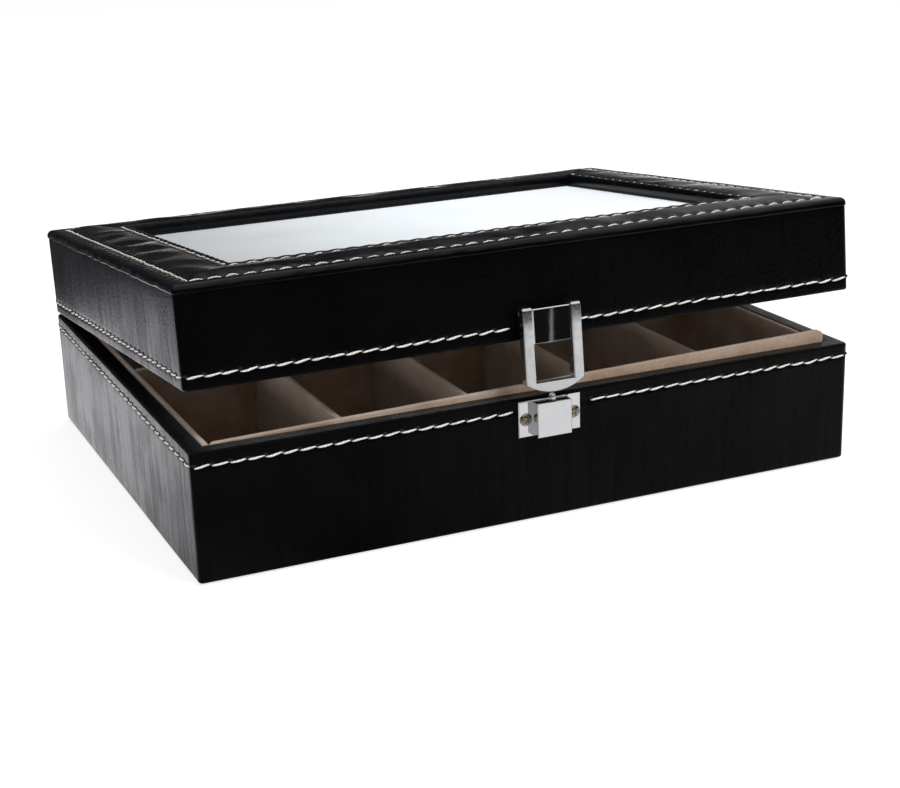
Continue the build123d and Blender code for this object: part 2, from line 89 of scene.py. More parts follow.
class Lie(Enum):
    """Which way a stitched surface faces."""

    UPRIGHT = "on a wall, facing outwards"
    FLAT = "on the padded top, facing up"


class Side(Enum):
    """The four sides in the order that a path goes round them, seen from above."""

    FRONT = 0
    RIGHT = 1
    REAR = 2
    LEFT = 3

    @property
    def wide(self) -> bool:
        """Whether the side runs along the width of the box."""
        return self in (Side.FRONT, Side.REAR)


# ---------------------------------------------------------------------------------------------
# Shapes worked out as whole arrays
# ---------------------------------------------------------------------------------------------


def smooth_step(low: float, high: float, value: np.ndarray) -> np.ndarray:
    """Rises from 0 at low to 1 at high: 3q^2 - 2q^3, with q the share of the way, held in 0..1.

    Args:
        low: where the rise starts.
        high: where it ends.
        value: the values to place.

    Returns:
        The risen values, in the shape of value.
    """
    share = np.clip((value - low) / (high - low), 0.0, 1.0)
    return share * share * (3.0 - 2.0 * share)


def facing_of(side: np.ndarray | int) -> np.ndarray | float:
    """Direction out of a side in radians from +X: a quarter turn back, and a quarter turn on for each side."""
    return -math.pi / 2 + side * math.pi / 2


@dataclass(frozen=True)
class Ripples:
    """A smooth seeded unevenness: a sum of sine waves of random direction, length and phase.

    Attributes:
        seed: of the random draw.
        shortest: shortest wave length, in millimetres.
        longest: longest wave length, in millimetres.
        count: number of waves.
        lean: middle direction of the waves in degrees, from the first coordinate.
        spread: how far the directions stray from lean, in degrees.
    """

    seed: int
    shortest: float
    longest: float
    count: int = 14
    lean: float = 0.0
    spread: float = 180.0

    def at(self, first: np.ndarray, second: np.ndarray) -> np.ndarray:
        """The sum of sin(k.p + phase) over the waves, over the root of half their number: about -1.5..1.5.

        Args:
            first: first coordinate of each point, in millimetres.
            second: second coordinate.

        Returns:
            The unevenness at each point.
        """
        draw = np.random.default_rng(self.seed)
        lengths = np.exp(draw.uniform(math.log(self.shortest), math.log(self.longest), self.count))
        angles = np.radians(self.lean + draw.uniform(-self.spread, self.spread, self.count))
        phases = draw.uniform(0.0, 2.0 * math.pi, self.count)
        shape = (self.count,) + (1,) * np.broadcast(first, second).ndim
        rate = (2.0 * math.pi / lengths).reshape(shape)
        turned = np.cos(angles).reshape(shape) * first + np.sin(angles).reshape(shape) * second
        return np.sin(rate * turned + phases.reshape(shape)).sum(0) / math.sqrt(self.count / 2.0)


@dataclass(frozen=True)
class BoxPath:
    """Stations round a rounded rectangle, counter-clockwise seen from above, starting on the front.

    Attributes:
        half_x: half the outer width, in millimetres.
        half_y: half the outer depth.
        corner: radius of the outer corners.
        step: distance between stations on the sides.
        tight: radius that the corners keep on lines far inside.
        corner_steps: number of steps round one corner.
    """

    half_x: float
    half_y: float
    corner: float
    step: float = 0.8
    tight: float = 0.15
    corner_steps: int = 6

    def stations(self) -> tuple[np.ndarray, np.ndarray, np.ndarray]:
        """Lays out the stations of each side, with those of the corner after it.

        Returns:
            Side number, place from -1 to 1 along the side, and turn into the corner in radians, per station.
        """
        sides, places, turns = [], [], []
        for side in Side:
            half = self.half_x if side.wide else self.half_y
            along = np.linspace(-1.0, 1.0, round(2 * half / self.step) + 1)
            turn = np.linspace(0.0, math.pi / 2, self.corner_steps + 1)[1:-1]
            sides.append(np.full(len(along) + len(turn), side.value))
            places.append(np.concatenate([along, np.ones(len(turn))]))
            turns.append(np.concatenate([np.zeros(len(along)), turn]))
        return np.concatenate(sides), np.concatenate(places), np.concatenate(turns)

    def carry(self, inset: np.ndarray) -> "Carried":
        """Places a profile's insets at every station.

        At an inset the rectangle is smaller by it on every side, and its corner radius is smaller by it too,
        but never under the tight radius. A station on a side lies at its share of the straight run, and one
        in a corner at the corner's centre plus the radius in its direction.

        Args:
            inset: distance in from the outer edge for each point of the profile.

        Returns:
            The places, outward directions and distances along the side, one row per station.
        """
        side, place, turn = (a[:, None] for a in self.stations())
        radius = np.maximum(self.corner - inset, self.tight)[None, :]
        long_side = side % 2 == 0
        run = np.where(long_side, self.half_x, self.half_y) - inset - radius
        reach = np.where(long_side, self.half_y, self.half_x) - inset - radius
        facing = facing_of(side)
        out_x, out_y = np.cos(facing + turn), np.sin(facing + turn)
        x = np.cos(facing) * reach - np.sin(facing) * place * run + radius * out_x
        y = np.sin(facing) * reach + np.cos(facing) * place * run + radius * out_y
        along = place * run + radius * np.sin(turn)
        full = np.ones_like(x)
        return Carried(x, y, out_x * full, out_y * full, along, run + radius - np.abs(along), side * full)

    def round_length(self) -> np.ndarray:
        """Adds up the steps along the outer line.

        Returns:
            Distance gone round at each station and at the start again, in millimetres.
        """
        line = self.carry(np.zeros(1))
        x, y = np.append(line.x[:, 0], line.x[0, 0]), np.append(line.y[:, 0], line.y[0, 0])
        return np.concatenate([[0.0], np.cumsum(np.hypot(np.diff(x), np.diff(y)))])


@dataclass(frozen=True)
class Carried:
    """A profile carried round a path: arrays of one row per station and one column per profile point.

    Attributes:
        x: first coordinate, in millimetres.
        y: second coordinate.
        out_x: first part of the direction out of the box.
        out_y: its second part.
        along: place along the side, from its middle.
        room: distance to the end of the side.
        side: side number.
    """

    x: np.ndarray
    y: np.ndarray
    out_x: np.ndarray
    out_y: np.ndarray
    along: np.ndarray
    room: np.ndarray
    side: np.ndarray

    def points(self, height: np.ndarray, outward: np.ndarray | float = 0.0) -> np.ndarray:
        """The points in millimetres, moved outwards by outward.

        Args:
            height: height of each point.
            outward: distance to move each point out of the box.

        Returns:
            An array of points with the stations first.
        """
        x = self.x + self.out_x * outward
        y = self.y + self.out_y * outward
        return np.stack([x, y, np.broadcast_to(height, x.shape)], -1)


def rounded_loop(corners: list[tuple[float, float, float, float]]) -> np.ndarray:
    """A closed outline from corners, each rounded by an arc that touches both of its sides.

    An arc of radius r leaves each side r.tan(half the turn) from the corner, and it is drawn in steps of
    ARC_STEP. A corner of radius 0 is a point on a straight run. Each run is divided into equal parts of
    about its own step.

    Args:
        corners: first coordinate, second coordinate and radius of each corner, and the step of the run that
            follows it, in order.

    Returns:
        The points of the outline, two coordinates each.
    """
    spots = np.array([c[:2] for c in corners], float)
    before, after = np.roll(spots, 1, 0) - spots, np.roll(spots, -1, 0) - spots
    before /= np.linalg.norm(before, axis=1)[:, None]
    after /= np.linalg.norm(after, axis=1)[:, None]
    runs = []
    for spot, back, ahead, radius in zip(spots, before, after, (c[2] for c in corners)):
        if radius == 0.0:
            runs.append(spot[None])
            continue
        turn = math.pi - math.acos(float(np.clip(back @ ahead, -1.0, 1.0)))
        cut = radius * math.tan(turn / 2.0)
        share = np.linspace(0.0, 1.0, max(2, round(math.degrees(turn) / ARC_STEP) + 1))[:, None]
        middle = (back + ahead) / np.linalg.norm(back + ahead)
        centre = spot + middle * radius / math.cos(turn / 2.0)
        first = (spot + back * cut - centre) * np.sin((1 - share) * turn)
        second = (spot + ahead * cut - centre) * np.sin(share * turn)
        runs.append(centre + (first + second) / math.sin(turn))
    pieces = []
    for run, following, step in zip(runs, runs[1:] + runs[:1], (c[3] for c in corners)):
        length = float(np.linalg.norm(following[0] - run[-1]))
        parts = np.linspace(0.0, 1.0, max(2, round(length / step) + 1))[1:-1, None]
        pieces += [run, run[-1] * (1 - parts) + following[0] * parts]
    return np.concatenate(pieces)


def measured(outline: np.ndarray) -> np.ndarray:
    """Distance gone round a closed outline at each point and at the start again."""
    closed = np.vstack([outline, outline[:1]])
    return np.concatenate([[0.0], np.cumsum(np.linalg.norm(np.diff(closed, axis=0), axis=1))])


def mesh_object(
    name: str, points: np.ndarray, faces: list[np.ndarray], uv: np.ndarray | None = None
) -> bpy.types.Object:
    """Makes an object at the origin from points in millimetres and groups of faces of equally many corners.

    Args:
        name: name of the piece.
        points: array of points.
        faces: one array per kind of face, each with one row of point numbers per face.
        uv: two coordinates for each corner of the first group of faces, row by row.

    Returns:
        The linked object, smooth shaded, its faces turned outwards by the sign of the enclosed volume.
    """
    flat = points.reshape(-1, 3) * MM
    first = faces[0]
    a, b, c = flat[first[:, 0]], flat[first[:, 1]], flat[first[:, 2]]
    volume = np.einsum("ij,ij->i", a, np.cross(b, c)).sum()
    if first.shape[1] == 4:
        volume += np.einsum("ij,ij->i", a, np.cross(c, flat[first[:, 3]])).sum()
    if volume < 0:
        faces = [f[:, ::-1] for f in faces]
        uv = None if uv is None else uv[:, ::-1]
    mesh = bpy.data.meshes.new(name)
    mesh.vertices.add(len(flat))
    mesh.vertices.foreach_set("co", flat.astype(np.float32).ravel())
    corners = np.concatenate([f.ravel() for f in faces])
    counts = np.concatenate([np.full(len(f), f.shape[1]) for f in faces])
    mesh.loops.add(len(corners))
    mesh.loops.foreach_set("vertex_index", corners.astype(np.int32))
    mesh.polygons.add(len(counts))
    mesh.polygons.foreach_set("loop_start", np.concatenate([[0], np.cumsum(counts)[:-1]]).astype(np.int32))
    mesh.polygons.foreach_set("use_smooth", np.ones(len(counts), bool))
    mesh.update(calc_edges=True)
    if uv is not None:
        layer = mesh.uv_layers.new(name="Run")
        values = np.zeros((len(corners), 2), np.float32)
        values[: uv.shape[0] * uv.shape[1]] = uv.reshape(-1, 2) * MM
        layer.data.foreach_set("uv", values.ravel())
    made = bpy.data.objects.new(name, mesh)
    bpy.context.scene.collection.objects.link(made)
    return made


def ring_object(name: str, points: np.ndarray, around: np.ndarray, across: np.ndarray) -> bpy.types.Object:
    """A closed ring: a closed profile carried round a closed path, with its own distances as UV.

    Args:
        name: name of the piece.
        points: points with stations first and profile points second.
        around: distance at each station and at the start again.
        across: distance at each profile point and at the start again.

    Returns:
        The object.
    """
    n, m = points.shape[:2]
    i, j = np.meshgrid(np.arange(n), np.arange(m), indexing="ij")
    i2, j2 = i + 1, j + 1
    quads = np.stack([i * m + j, i2 % n * m + j, i2 % n * m + j2 % m, i * m + j2 % m], -1).reshape(-1, 4)
    u = np.stack([around[i], around[i2], around[i2], around[i]], -1)
    v = np.stack([across[j], across[j], across[j2], across[j2]], -1)
    return mesh_object(name, points, [quads], np.stack([u, v], -1).reshape(-1, 4, 2))


def tube_object(name: str, points: np.ndarray) -> bpy.types.Object:
    """Separate closed tubes in one piece, each with a face over either end.

    Args:
        name: name of the piece.
        points: array of tubes, rings along a tube, points round a ring, coordinates.

    Returns:
        The object, with UV that runs 0..1 round a ring and on along the tube, in millimetres.
    """
    tubes, rings, around = points.shape[:3]
    t, r, a = np.meshgrid(np.arange(tubes), np.arange(rings - 1), np.arange(around), indexing="ij")
    start = t * rings * around
    here, above = start + r * around, start + (r + 1) * around
    next_a = (a + 1) % around
    quads = np.stack([here + a, here + next_a, above + next_a, above + a], -1).reshape(-1, 4)
    low = (np.arange(tubes) * rings * around)[:, None] + np.arange(around)[None, ::-1]
    high = (np.arange(tubes) * rings * around + (rings - 1) * around)[:, None] + np.arange(around)[None]
    u = np.stack([a, a + 1, a + 1, a], -1) / around
    v = np.stack([r, r, r + 1, r + 1], -1) / (rings - 1) + t[..., None]
    return mesh_object(name, points, [quads, low, high], np.stack([u, v], -1).reshape(-1, 4, 2))


# ---------------------------------------------------------------------------------------------
# Sizes that the pieces share, as the CAD source has them
# ---------------------------------------------------------------------------------------------


@dataclass(frozen=True)
class BoxSizes:
    """Sizes of the box, in millimetres, with the lid closed.

    Attributes:
        half_x: half the width.
        half_y: half the depth.
        corner: radius of the upright corners.
        rim: radius of the leather rolled over an outer edge.
        felt: thickness of the felt underneath.
        leather: thickness of the leather.
        cavity_inset: outer face to the inner face of the wall boards.
        turn_in: leather turned down inside the mouth.
        turn_under: leather turned under the floor.
        base_top: height of the base's rim.
        lid_low: height of the lid's lower edge.
        seam: height of the seam under the padded top.
        outer_row: inset of the outer stitch row of the top.
        inner_row: inset of its inner row.
        window: inset of the window's edge.
    """

    half_x: float = 130.0
    half_y: float = 100.0
    corner: float = 1.8
    rim: float = 1.0
    felt: float = 0.5
    leather: float = 0.6
    cavity_inset: float = 5.6
    turn_in: float = 12.0
    turn_under: float = 10.0
    base_top: float = 47.0
    lid_low: float = 47.3
    seam: float = 79.3
    outer_row: float = 6.6
    inner_row: float = 25.6
    window: float = 28.5


SIZES = BoxSizes()
WALL_PATH = BoxPath(SIZES.half_x, SIZES.half_y, SIZES.corner)
TOP_PATH = BoxPath(SIZES.half_x, SIZES.half_y, SIZES.corner, 0.85)


@dataclass(frozen=True)
class LidTurn:
    """The turn of the lid about its hinge pins, from closed to the angle at which it rests.

    Attributes:
        angle: in radians, positive when the lid is open.
        pin_y: depth of the hinge pins, in millimetres.
        pin_z: height of the hinge pins.
    """

    angle: float
    pin_y: float
    pin_z: float

    @classmethod
    def of_joint(cls, joints: list[dict]) -> "LidTurn":
        """Reads the turn from the lid's joint.

        Args:
            joints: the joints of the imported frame.

        Returns:
            The turn.
        """
        lid = next(j for j in joints if j["name"] == "lid_hinge")
        _, y, z = lid["pos_m"]
        return cls(-math.radians(lid["range_deg"][0]), y / MM, z / MM)

    def open(self, points: np.ndarray) -> np.ndarray:
        """Turns points of the closed lid to where they rest: a rotation about the pins by -angle round +X.

        Args:
            points: points in millimetres.

        Returns:
            The turned points.
        """
        c, s = math.cos(self.angle), math.sin(self.angle)
        y, z = points[..., 1] - self.pin_y, points[..., 2] - self.pin_z
        return np.stack([points[..., 0], self.pin_y + c * y + s * z, self.pin_z - s * y + c * z], -1)


# ---------------------------------------------------------------------------------------------
# Finishes
# ---------------------------------------------------------------------------------------------


class Sketch:
    """Draws nodes and their links into a node tree."""

    def __init__(self, tree: bpy.types.NodeTree) -> None:
        """Keeps the tree that is drawn into."""
        self.tree = tree

    def node(self, kind: str, values: dict | None = None, **settings: object) -> bpy.types.Node:
        """Adds one node.

        Args:
            kind: the node's type name, without its leading "ShaderNode".
            values: numbers, colours or output sockets, by the name or number of the input.
            settings: the node's own settings.

        Returns:
            The node.
        """
        made = self.tree.nodes.new("ShaderNode" + kind if not kind.startswith("Node") else kind)
        for key, value in settings.items():
            setattr(made, key, value)
        for key, value in (values or {}).items():
            if isinstance(value, Socket):
                self.tree.links.new(value, made.inputs[key])
            else:
                made.inputs[key].default_value = value
        return made

    def math(self, operation: str, *values: object) -> Socket:
        """A Math node on up to three numbers or sockets, and its result."""
        return self.node("Math", dict(enumerate(values)), operation=operation).outputs[0]

    def scaled(self, vector: Socket, scale: Triple) -> Socket:
        """A vector times a scale, number by number."""
        return self.node("VectorMath", {0: vector, 1: scale}, operation="MULTIPLY").outputs[0]

    def chain(self, operation: str, *values: object) -> Socket:
        """Joins numbers one after another by the same operation.

        Args:
            operation: a Math operation of two numbers.
            values: two or more numbers or sockets.

        Returns:
            The result.
        """
        made = values[0]
        for value in values[1:]:
            made = self.math(operation, made, value)
        return made

    def sum_of(self, first: object, weight: float, second: object, other: float) -> Socket:
        """Two numbers added with their weights: first.weight + second.other."""
        return self.math("MULTIPLY_ADD", first, weight, self.math("MULTIPLY", second, other))

    def noise(
        self, vector: object, scale: object, detail: float, rough: float = 0.5, bend: float = 0.0
    ) -> bpy.types.Node:
        """A noise texture, with its roughness and distortion."""
        values = {"Vector": vector, "Scale": scale, "Detail": detail, "Roughness": rough, "Distortion": bend}
        return self.node("TexNoise", values)

    def ramp(self, value: Socket, low: float, high: float, start: float, end: float) -> Socket:
        """Maps low..high smoothly to start..end."""
        values = {"Value": value, "From Min": low, "From Max": high, "To Min": start, "To Max": end}
        return self.node("MapRange", values, interpolation_type="SMOOTHSTEP").outputs[0]

    def between(self, share: object, first: object, second: object) -> Socket:
        """A number between first, at share 0, and second, at share 1: first + share.(second - first)."""
        return self.math("MULTIPLY_ADD", share, self.math("SUBTRACT", second, first), first)

    def blend(self, share: object, first: object, second: object) -> Socket:
        """A colour between two others.

        Args:
            share: 0 for the first and 1 for the second.
            first: a colour or its socket.
            second: a colour or its socket.

        Returns:
            The colour.
        """
        made = self.node("Mix", data_type="RGBA")
        for key, value in (("Factor_Float", share), ("A_Color", first), ("B_Color", second)):
            socket = next(s for s in made.inputs if s.identifier == key)
            if isinstance(value, Socket):
                self.tree.links.new(value, socket)
            else:
                socket.default_value = value
        return next(s for s in made.outputs if s.identifier == "Result_Color")

    def show(self, shader: bpy.types.Node, kind: str = "OutputMaterial") -> None:
        """Adds the output node and leads a shader to it."""
        self.tree.links.new(shader.outputs[0], self.node(kind).inputs["Surface"])


class EffectGroup:
    """A node group that gives the height and shade of a pattern, built once and placed in many materials.

    Attributes:
        name: name of the group.
        setting: name of its one number.
    """

    name = "effect"
    setting = "Scale"

    @classmethod
    def tree(cls) -> bpy.types.NodeTree:
        """Builds the group at its first use.

        Returns:
            Its tree.
        """
        known = bpy.data.node_groups.get(cls.name)
        if known is not None:
            return known
        tree = bpy.data.node_groups.new(cls.name, "ShaderNodeTree")
        for label, way, kind in (
            ("Vector", "INPUT", "Vector"), (cls.setting, "INPUT", "Float"),
            ("Height", "OUTPUT", "Float"), ("Shade", "OUTPUT", "Float"),
        ):
            tree.interface.new_socket(name=label, in_out=way, socket_type="NodeSocket" + kind)
        sketch = Sketch(tree)
        given, result = sketch.node("NodeGroupInput").outputs, sketch.node("NodeGroupOutput").inputs
        height, shade = cls.draw(sketch, given["Vector"], given[cls.setting])
        tree.links.new(height, result["Height"])
        tree.links.new(shade, result["Shade"])
        return tree

    @classmethod
    def draw(cls, sketch: Sketch, vector: Socket, size: Socket) -> tuple[Socket, Socket]:
        """Draws the group's nodes and gives its height and its shade."""
        raise NotImplementedError

    @classmethod
    def place(cls, sketch: Sketch, vector: Socket, size: float) -> bpy.types.Node:
        """Places the group in a material.

        Args:
            sketch: the material's sketch.
            vector: coordinates for the pattern.
            size: the group's number.

        Returns:
            The group node.
        """
        node = sketch.tree.nodes.new("ShaderNodeGroup")
        node.node_tree = cls.tree()
        sketch.tree.links.new(vector, node.inputs["Vector"])
        node.inputs[cls.setting].default_value = size
        return node


class Grain(EffectGroup):
    """Pebbled grain of split leather: small cells, so many a metre, with a fine noise over them."""

    name = "Pebbled grain"

    @classmethod
    def draw(cls, sketch: Sketch, vector: Socket, size: Socket) -> tuple[Socket, Socket]:
        """Height is the distance in a cell, softened, plus noise. Shade is a slow patchiness.

        Args:
            sketch: the group's sketch.
            vector: the group's coordinates.
            size: the group's number.

        Returns:
            Height and shade.
        """
        bent = sketch.noise(vector, 350.0, 2.0)
        push = sketch.scaled(bent.outputs["Color"], (0.0011, 0.0011, 0.0011))
        moved = sketch.node("VectorMath", {0: vector, 1: push}, operation="ADD").outputs[0]
        values = {"Vector": moved, "Scale": size, "Smoothness": 0.6}
        cells = sketch.node("TexVoronoi", values, feature="SMOOTH_F1")
        pores = sketch.noise(moved, 2600.0, 3.0, 0.6)
        height = sketch.sum_of(pores.outputs["Fac"], 0.45, cells.outputs["Distance"], 0.8)
        return height, sketch.noise(vector, 45.0, 3.0, 0.55).outputs["Fac"]


class Streaks(EffectGroup):
    """Fine lines across the run of a strip, as on leather that was brushed one way."""

    name = "Brushed streaks"
    setting = "Fineness"

    @classmethod
    def draw(cls, sketch: Sketch, vector: Socket, size: Socket) -> tuple[Socket, Socket]:
        """Noise that is long in the second coordinate and short in the first, at two scales.

        Args:
            sketch: the group's sketch.
            vector: the group's coordinates.
            size: the group's number.

        Returns:
            Height and shade.
        """
        long_way = sketch.scaled(vector, (1.0, 0.045, 0.045))
        wide = sketch.noise(long_way, size, 3.0, 0.6)
        thin = sketch.noise(long_way, sketch.math("MULTIPLY", size, 4.5), 2.0)
        return sketch.sum_of(thin.outputs["Fac"], 0.35, wide.outputs["Fac"], 0.65), wide.outputs["Fac"]


class Fibres(EffectGroup):
    """Short pile: a dense speckle, so many tufts a metre, with a soft brushed drift."""

    name = "Short pile"

    @classmethod
    def draw(cls, sketch: Sketch, vector: Socket, size: Socket) -> tuple[Socket, Socket]:
        """Height is a fine noise. Shade adds a slow drift, as where a finger has gone over the pile.

        Args:
            sketch: the group's sketch.
            vector: the group's coordinates.
            size: the group's number.

        Returns:
            Height and shade.
        """
        tufts = sketch.noise(vector, size, 2.0, 0.7)
        drift = sketch.noise(vector, 55.0, 3.0, bend=0.6)
        return tufts.outputs["Fac"], sketch.sum_of(tufts.outputs["Fac"], 0.55, drift.outputs["Fac"], 0.45)


class Smudges(EffectGroup):
    """Faint wiped smears and fine scratches on a polished surface."""

    name = "Wiped smears"

    @classmethod
    def draw(cls, sketch: Sketch, vector: Socket, size: Socket) -> tuple[Socket, Socket]:
        """Shade is a cloudy noise. Height is the same with thin lines drawn through it.

        Args:
            sketch: the group's sketch.
            vector: the group's coordinates.
            size: the group's number.

        Returns:
            Height and shade.
        """
        cloud = sketch.noise(vector, size, 5.0, 0.62, 0.8)
        lines = sketch.noise(sketch.scaled(vector, (1.0, 6.0, 0.4)), 420.0, 2.0)
        return sketch.sum_of(lines.outputs["Fac"], 0.3, cloud.outputs["Fac"], 0.7), cloud.outputs["Fac"]


def paint(colour: Triple, times: float = 1.0) -> tuple[float, ...]:
    """A colour times a factor, opaque."""
    return tuple(times * c for c in colour) + (1.0,)


def new_material(name: str) -> tuple[bpy.types.Material, Sketch]:
    """Makes an empty material.

    Args:
        name: its name.

    Returns:
        The material and its sketch.
    """
    material = bpy.data.materials.new(name)
    material.use_nodes = True
    material.node_tree.nodes.clear()
    return material, Sketch(material.node_tree)


@dataclass(frozen=True)
class Leather:
    """Black imitation leather.

    Attributes:
        name: name of the material.
        colour: its colour.
        gloss: specular level.
        rough: middle roughness.
        grain: size of the pebbles, in cells a metre.
        brushed: strength of the streaks, 0 to 1.
        polish: weight of the coat where it was rubbed bright, in streaks and patches.
        relief: height of the grain, in millimetres.
        plain: share of the coat that shows where it is looked at straight.
        fineness: streaks a metre.
    """

    name: str
    colour: Triple
    gloss: float
    rough: float
    grain: float
    brushed: float
    polish: float
    relief: float
    plain: float
    fineness: float = 400.0

    def build(self) -> bpy.types.Material:
        """Draws the material: grain and streaks bend the normal, and they change roughness, shade and coat.

        Round a stitch hole, which the attribute Hole marks, the leather is dull.

        Returns:
            The material.
        """
        material, sketch = new_material(self.name)
        where = sketch.node("UVMap", uv_map="Run").outputs[0]
        place = sketch.node("TexCoord").outputs["Object"]
        grain = Grain.place(sketch, place, self.grain)
        streaks = Streaks.place(sketch, where, self.fineness)
        height = sketch.math("MULTIPLY_ADD", streaks.outputs["Height"], self.brushed * 1.6, grain.outputs["Height"])
        bump = sketch.node("Bump", {"Height": height, "Strength": 0.7, "Distance": self.relief * MM})
        lively = sketch.math("MULTIPLY_ADD", streaks.outputs["Shade"], self.brushed, grain.outputs["Shade"])
        rough = sketch.ramp(lively, 0.35, 0.65 + self.brushed, self.rough - 0.09, self.rough + 0.11)
        rough = sketch.math("MAXIMUM", rough, sketch.node("Attribute", attribute_name="Hole").outputs["Fac"])
        shade = sketch.blend(grain.outputs["Shade"], paint(self.colour, 0.6), paint(self.colour, 1.5))
        polish = sketch.ramp(lively, 0.45 + 0.3 * self.brushed, 0.70 + 0.5 * self.brushed, 0.0, self.polish)
        aslant = sketch.ramp(sketch.node("LayerWeight", {"Blend": 0.5}).outputs["Facing"], 0.25, 0.5, self.plain, 1.0)
        polish = sketch.math("MULTIPLY", polish, aslant)
        values = {"Base Color": shade, "Roughness": rough, "Normal": bump.outputs[0], "Specular IOR Level": self.gloss,
                  "Coat Weight": polish, "Coat Roughness": self.rough - 0.08}
        sketch.show(sketch.node("BsdfPrincipled", values))
        return material


@dataclass(frozen=True)
class Pile:
    """Velvet or felt.

    Attributes:
        name: name of the material.
        low: colour between the tufts.
        high: colour of the tufts.
        sheen: weight of the sheen.
        scale: tufts a metre.
    """

    name: str
    low: Triple
    high: Triple
    sheen: float
    scale: float = 3200.0

    def build(self) -> bpy.types.Material:
        """Draws the material: the pile's speckle is its colour and its bump.

        Returns:
            The material.
        """
        material, sketch = new_material(self.name)
        pile = Fibres.place(sketch, sketch.node("TexCoord").outputs["Object"], self.scale)
        share = sketch.ramp(pile.outputs["Shade"], 0.36, 0.64, 0.0, 1.0)
        colour = sketch.blend(share, paint(self.low), paint(self.high))
        bump = sketch.node("Bump", {"Height": pile.outputs["Height"], "Strength": 0.6, "Distance": 0.0002})
        values = {"Base Color": colour, "Roughness": 0.95, "Normal": bump.outputs[0], "Specular IOR Level": 0.1,
                  "Sheen Weight": self.sheen, "Sheen Roughness": 0.45}
        sketch.show(sketch.node("BsdfPrincipled", values))
        return material


@dataclass(frozen=True)
class Metal:
    """Bright plated metal with a trace of handling.

    Attributes:
        name: name of the material.
        colour: colour of its reflections.
        rough: lowest roughness.
        wiped: how much rougher it is where it was wiped.
        uneven: how much the surface waves.
        lean: slope by which upright faces turn down, as if they were a little hollow.
        top: height over which they don't, in metres.
    """

    name: str
    colour: Triple
    rough: float
    wiped: float
    uneven: float
    lean: float = 0.0
    top: float = 0.0

    def build(self) -> bpy.types.Material:
        """Draws the material: smears change the roughness, and a slow wave bends the reflections.

        Returns:
            The material.
        """
        material, sketch = new_material(self.name)
        place = sketch.node("TexCoord").outputs["Object"]
        smear = Smudges.place(sketch, place, 420.0)
        rough = sketch.ramp(smear.outputs["Shade"], 0.3, 0.7, self.rough, self.rough + self.wiped)
        shade = sketch.blend(smear.outputs["Shade"], paint(self.colour, 0.90), paint(self.colour))
        bump = sketch.node("Bump", {"Height": smear.outputs["Height"], "Strength": self.uneven, "Distance": 0.00012})
        high = sketch.node("SeparateXYZ", {0: place}).outputs["Z"]
        high = sketch.math("MULTIPLY", sketch.math("SMOOTH_MIN", high, self.top, 0.006), self.lean / MM)
        bump = sketch.node("Bump", {"Height": high, "Strength": 1.0, "Distance": MM, "Normal": bump.outputs[0]})
        edge = sketch.node("Bevel", {"Radius": 0.00018, "Normal": bump.outputs[0]}, samples=4)
        values = {"Base Color": shade, "Metallic": 1.0, "Roughness": rough, "Normal": edge.outputs[0]}
        sketch.show(sketch.node("BsdfPrincipled", values))
        return material


@dataclass(frozen=True)
class Thread:
    """Twisted waxed thread.

    Attributes:
        name: name of the material.
        low: colour in the grooves between the plies, a painted shade.
        high: colour of the strands.
    """

    name: str
    low: Triple
    high: Triple

    def build(self) -> bpy.types.Material:
        """Draws the material: slanted bands round the thread are its plies, in bump and in colour. The colour is
        darker in the grooves between the plies, a painted shade, and varies at random with the fuzz.

        Returns:
            The material.
        """
        material, sketch = new_material(self.name)
        run = sketch.node("SeparateXYZ", {0: sketch.node("UVMap", uv_map="Run").outputs[0]})
        twist = sketch.sum_of(run.outputs["Y"], 4.0 / MM, run.outputs["X"], 2.0 / MM)
        wave = sketch.math("SINE", sketch.math("MULTIPLY", twist, 2.0 * math.pi))
        plies = sketch.ramp(wave, -1.0, 0.2, 0.0, 1.0)
        fuzz = Fibres.place(sketch, sketch.node("TexCoord").outputs["Object"], 4200.0)
        share = sketch.math("MULTIPLY", plies, sketch.ramp(fuzz.outputs["Shade"], 0.3, 0.6, 0.7, 1.0))
        # painted shade: darker colour in the grooves between the plies
        colour = sketch.blend(share, paint(self.low), paint(self.high))
        height = sketch.math("MULTIPLY_ADD", fuzz.outputs["Height"], 0.4, plies)
        bump = sketch.node("Bump", {"Height": height, "Strength": 0.7, "Distance": 0.00015})
        values = {"Base Color": colour, "Roughness": 0.6, "Normal": bump.outputs[0], "Specular IOR Level": 0.35,
                  "Sheen Weight": 0.2}
        sketch.show(sketch.node("BsdfPrincipled", values))
        return material


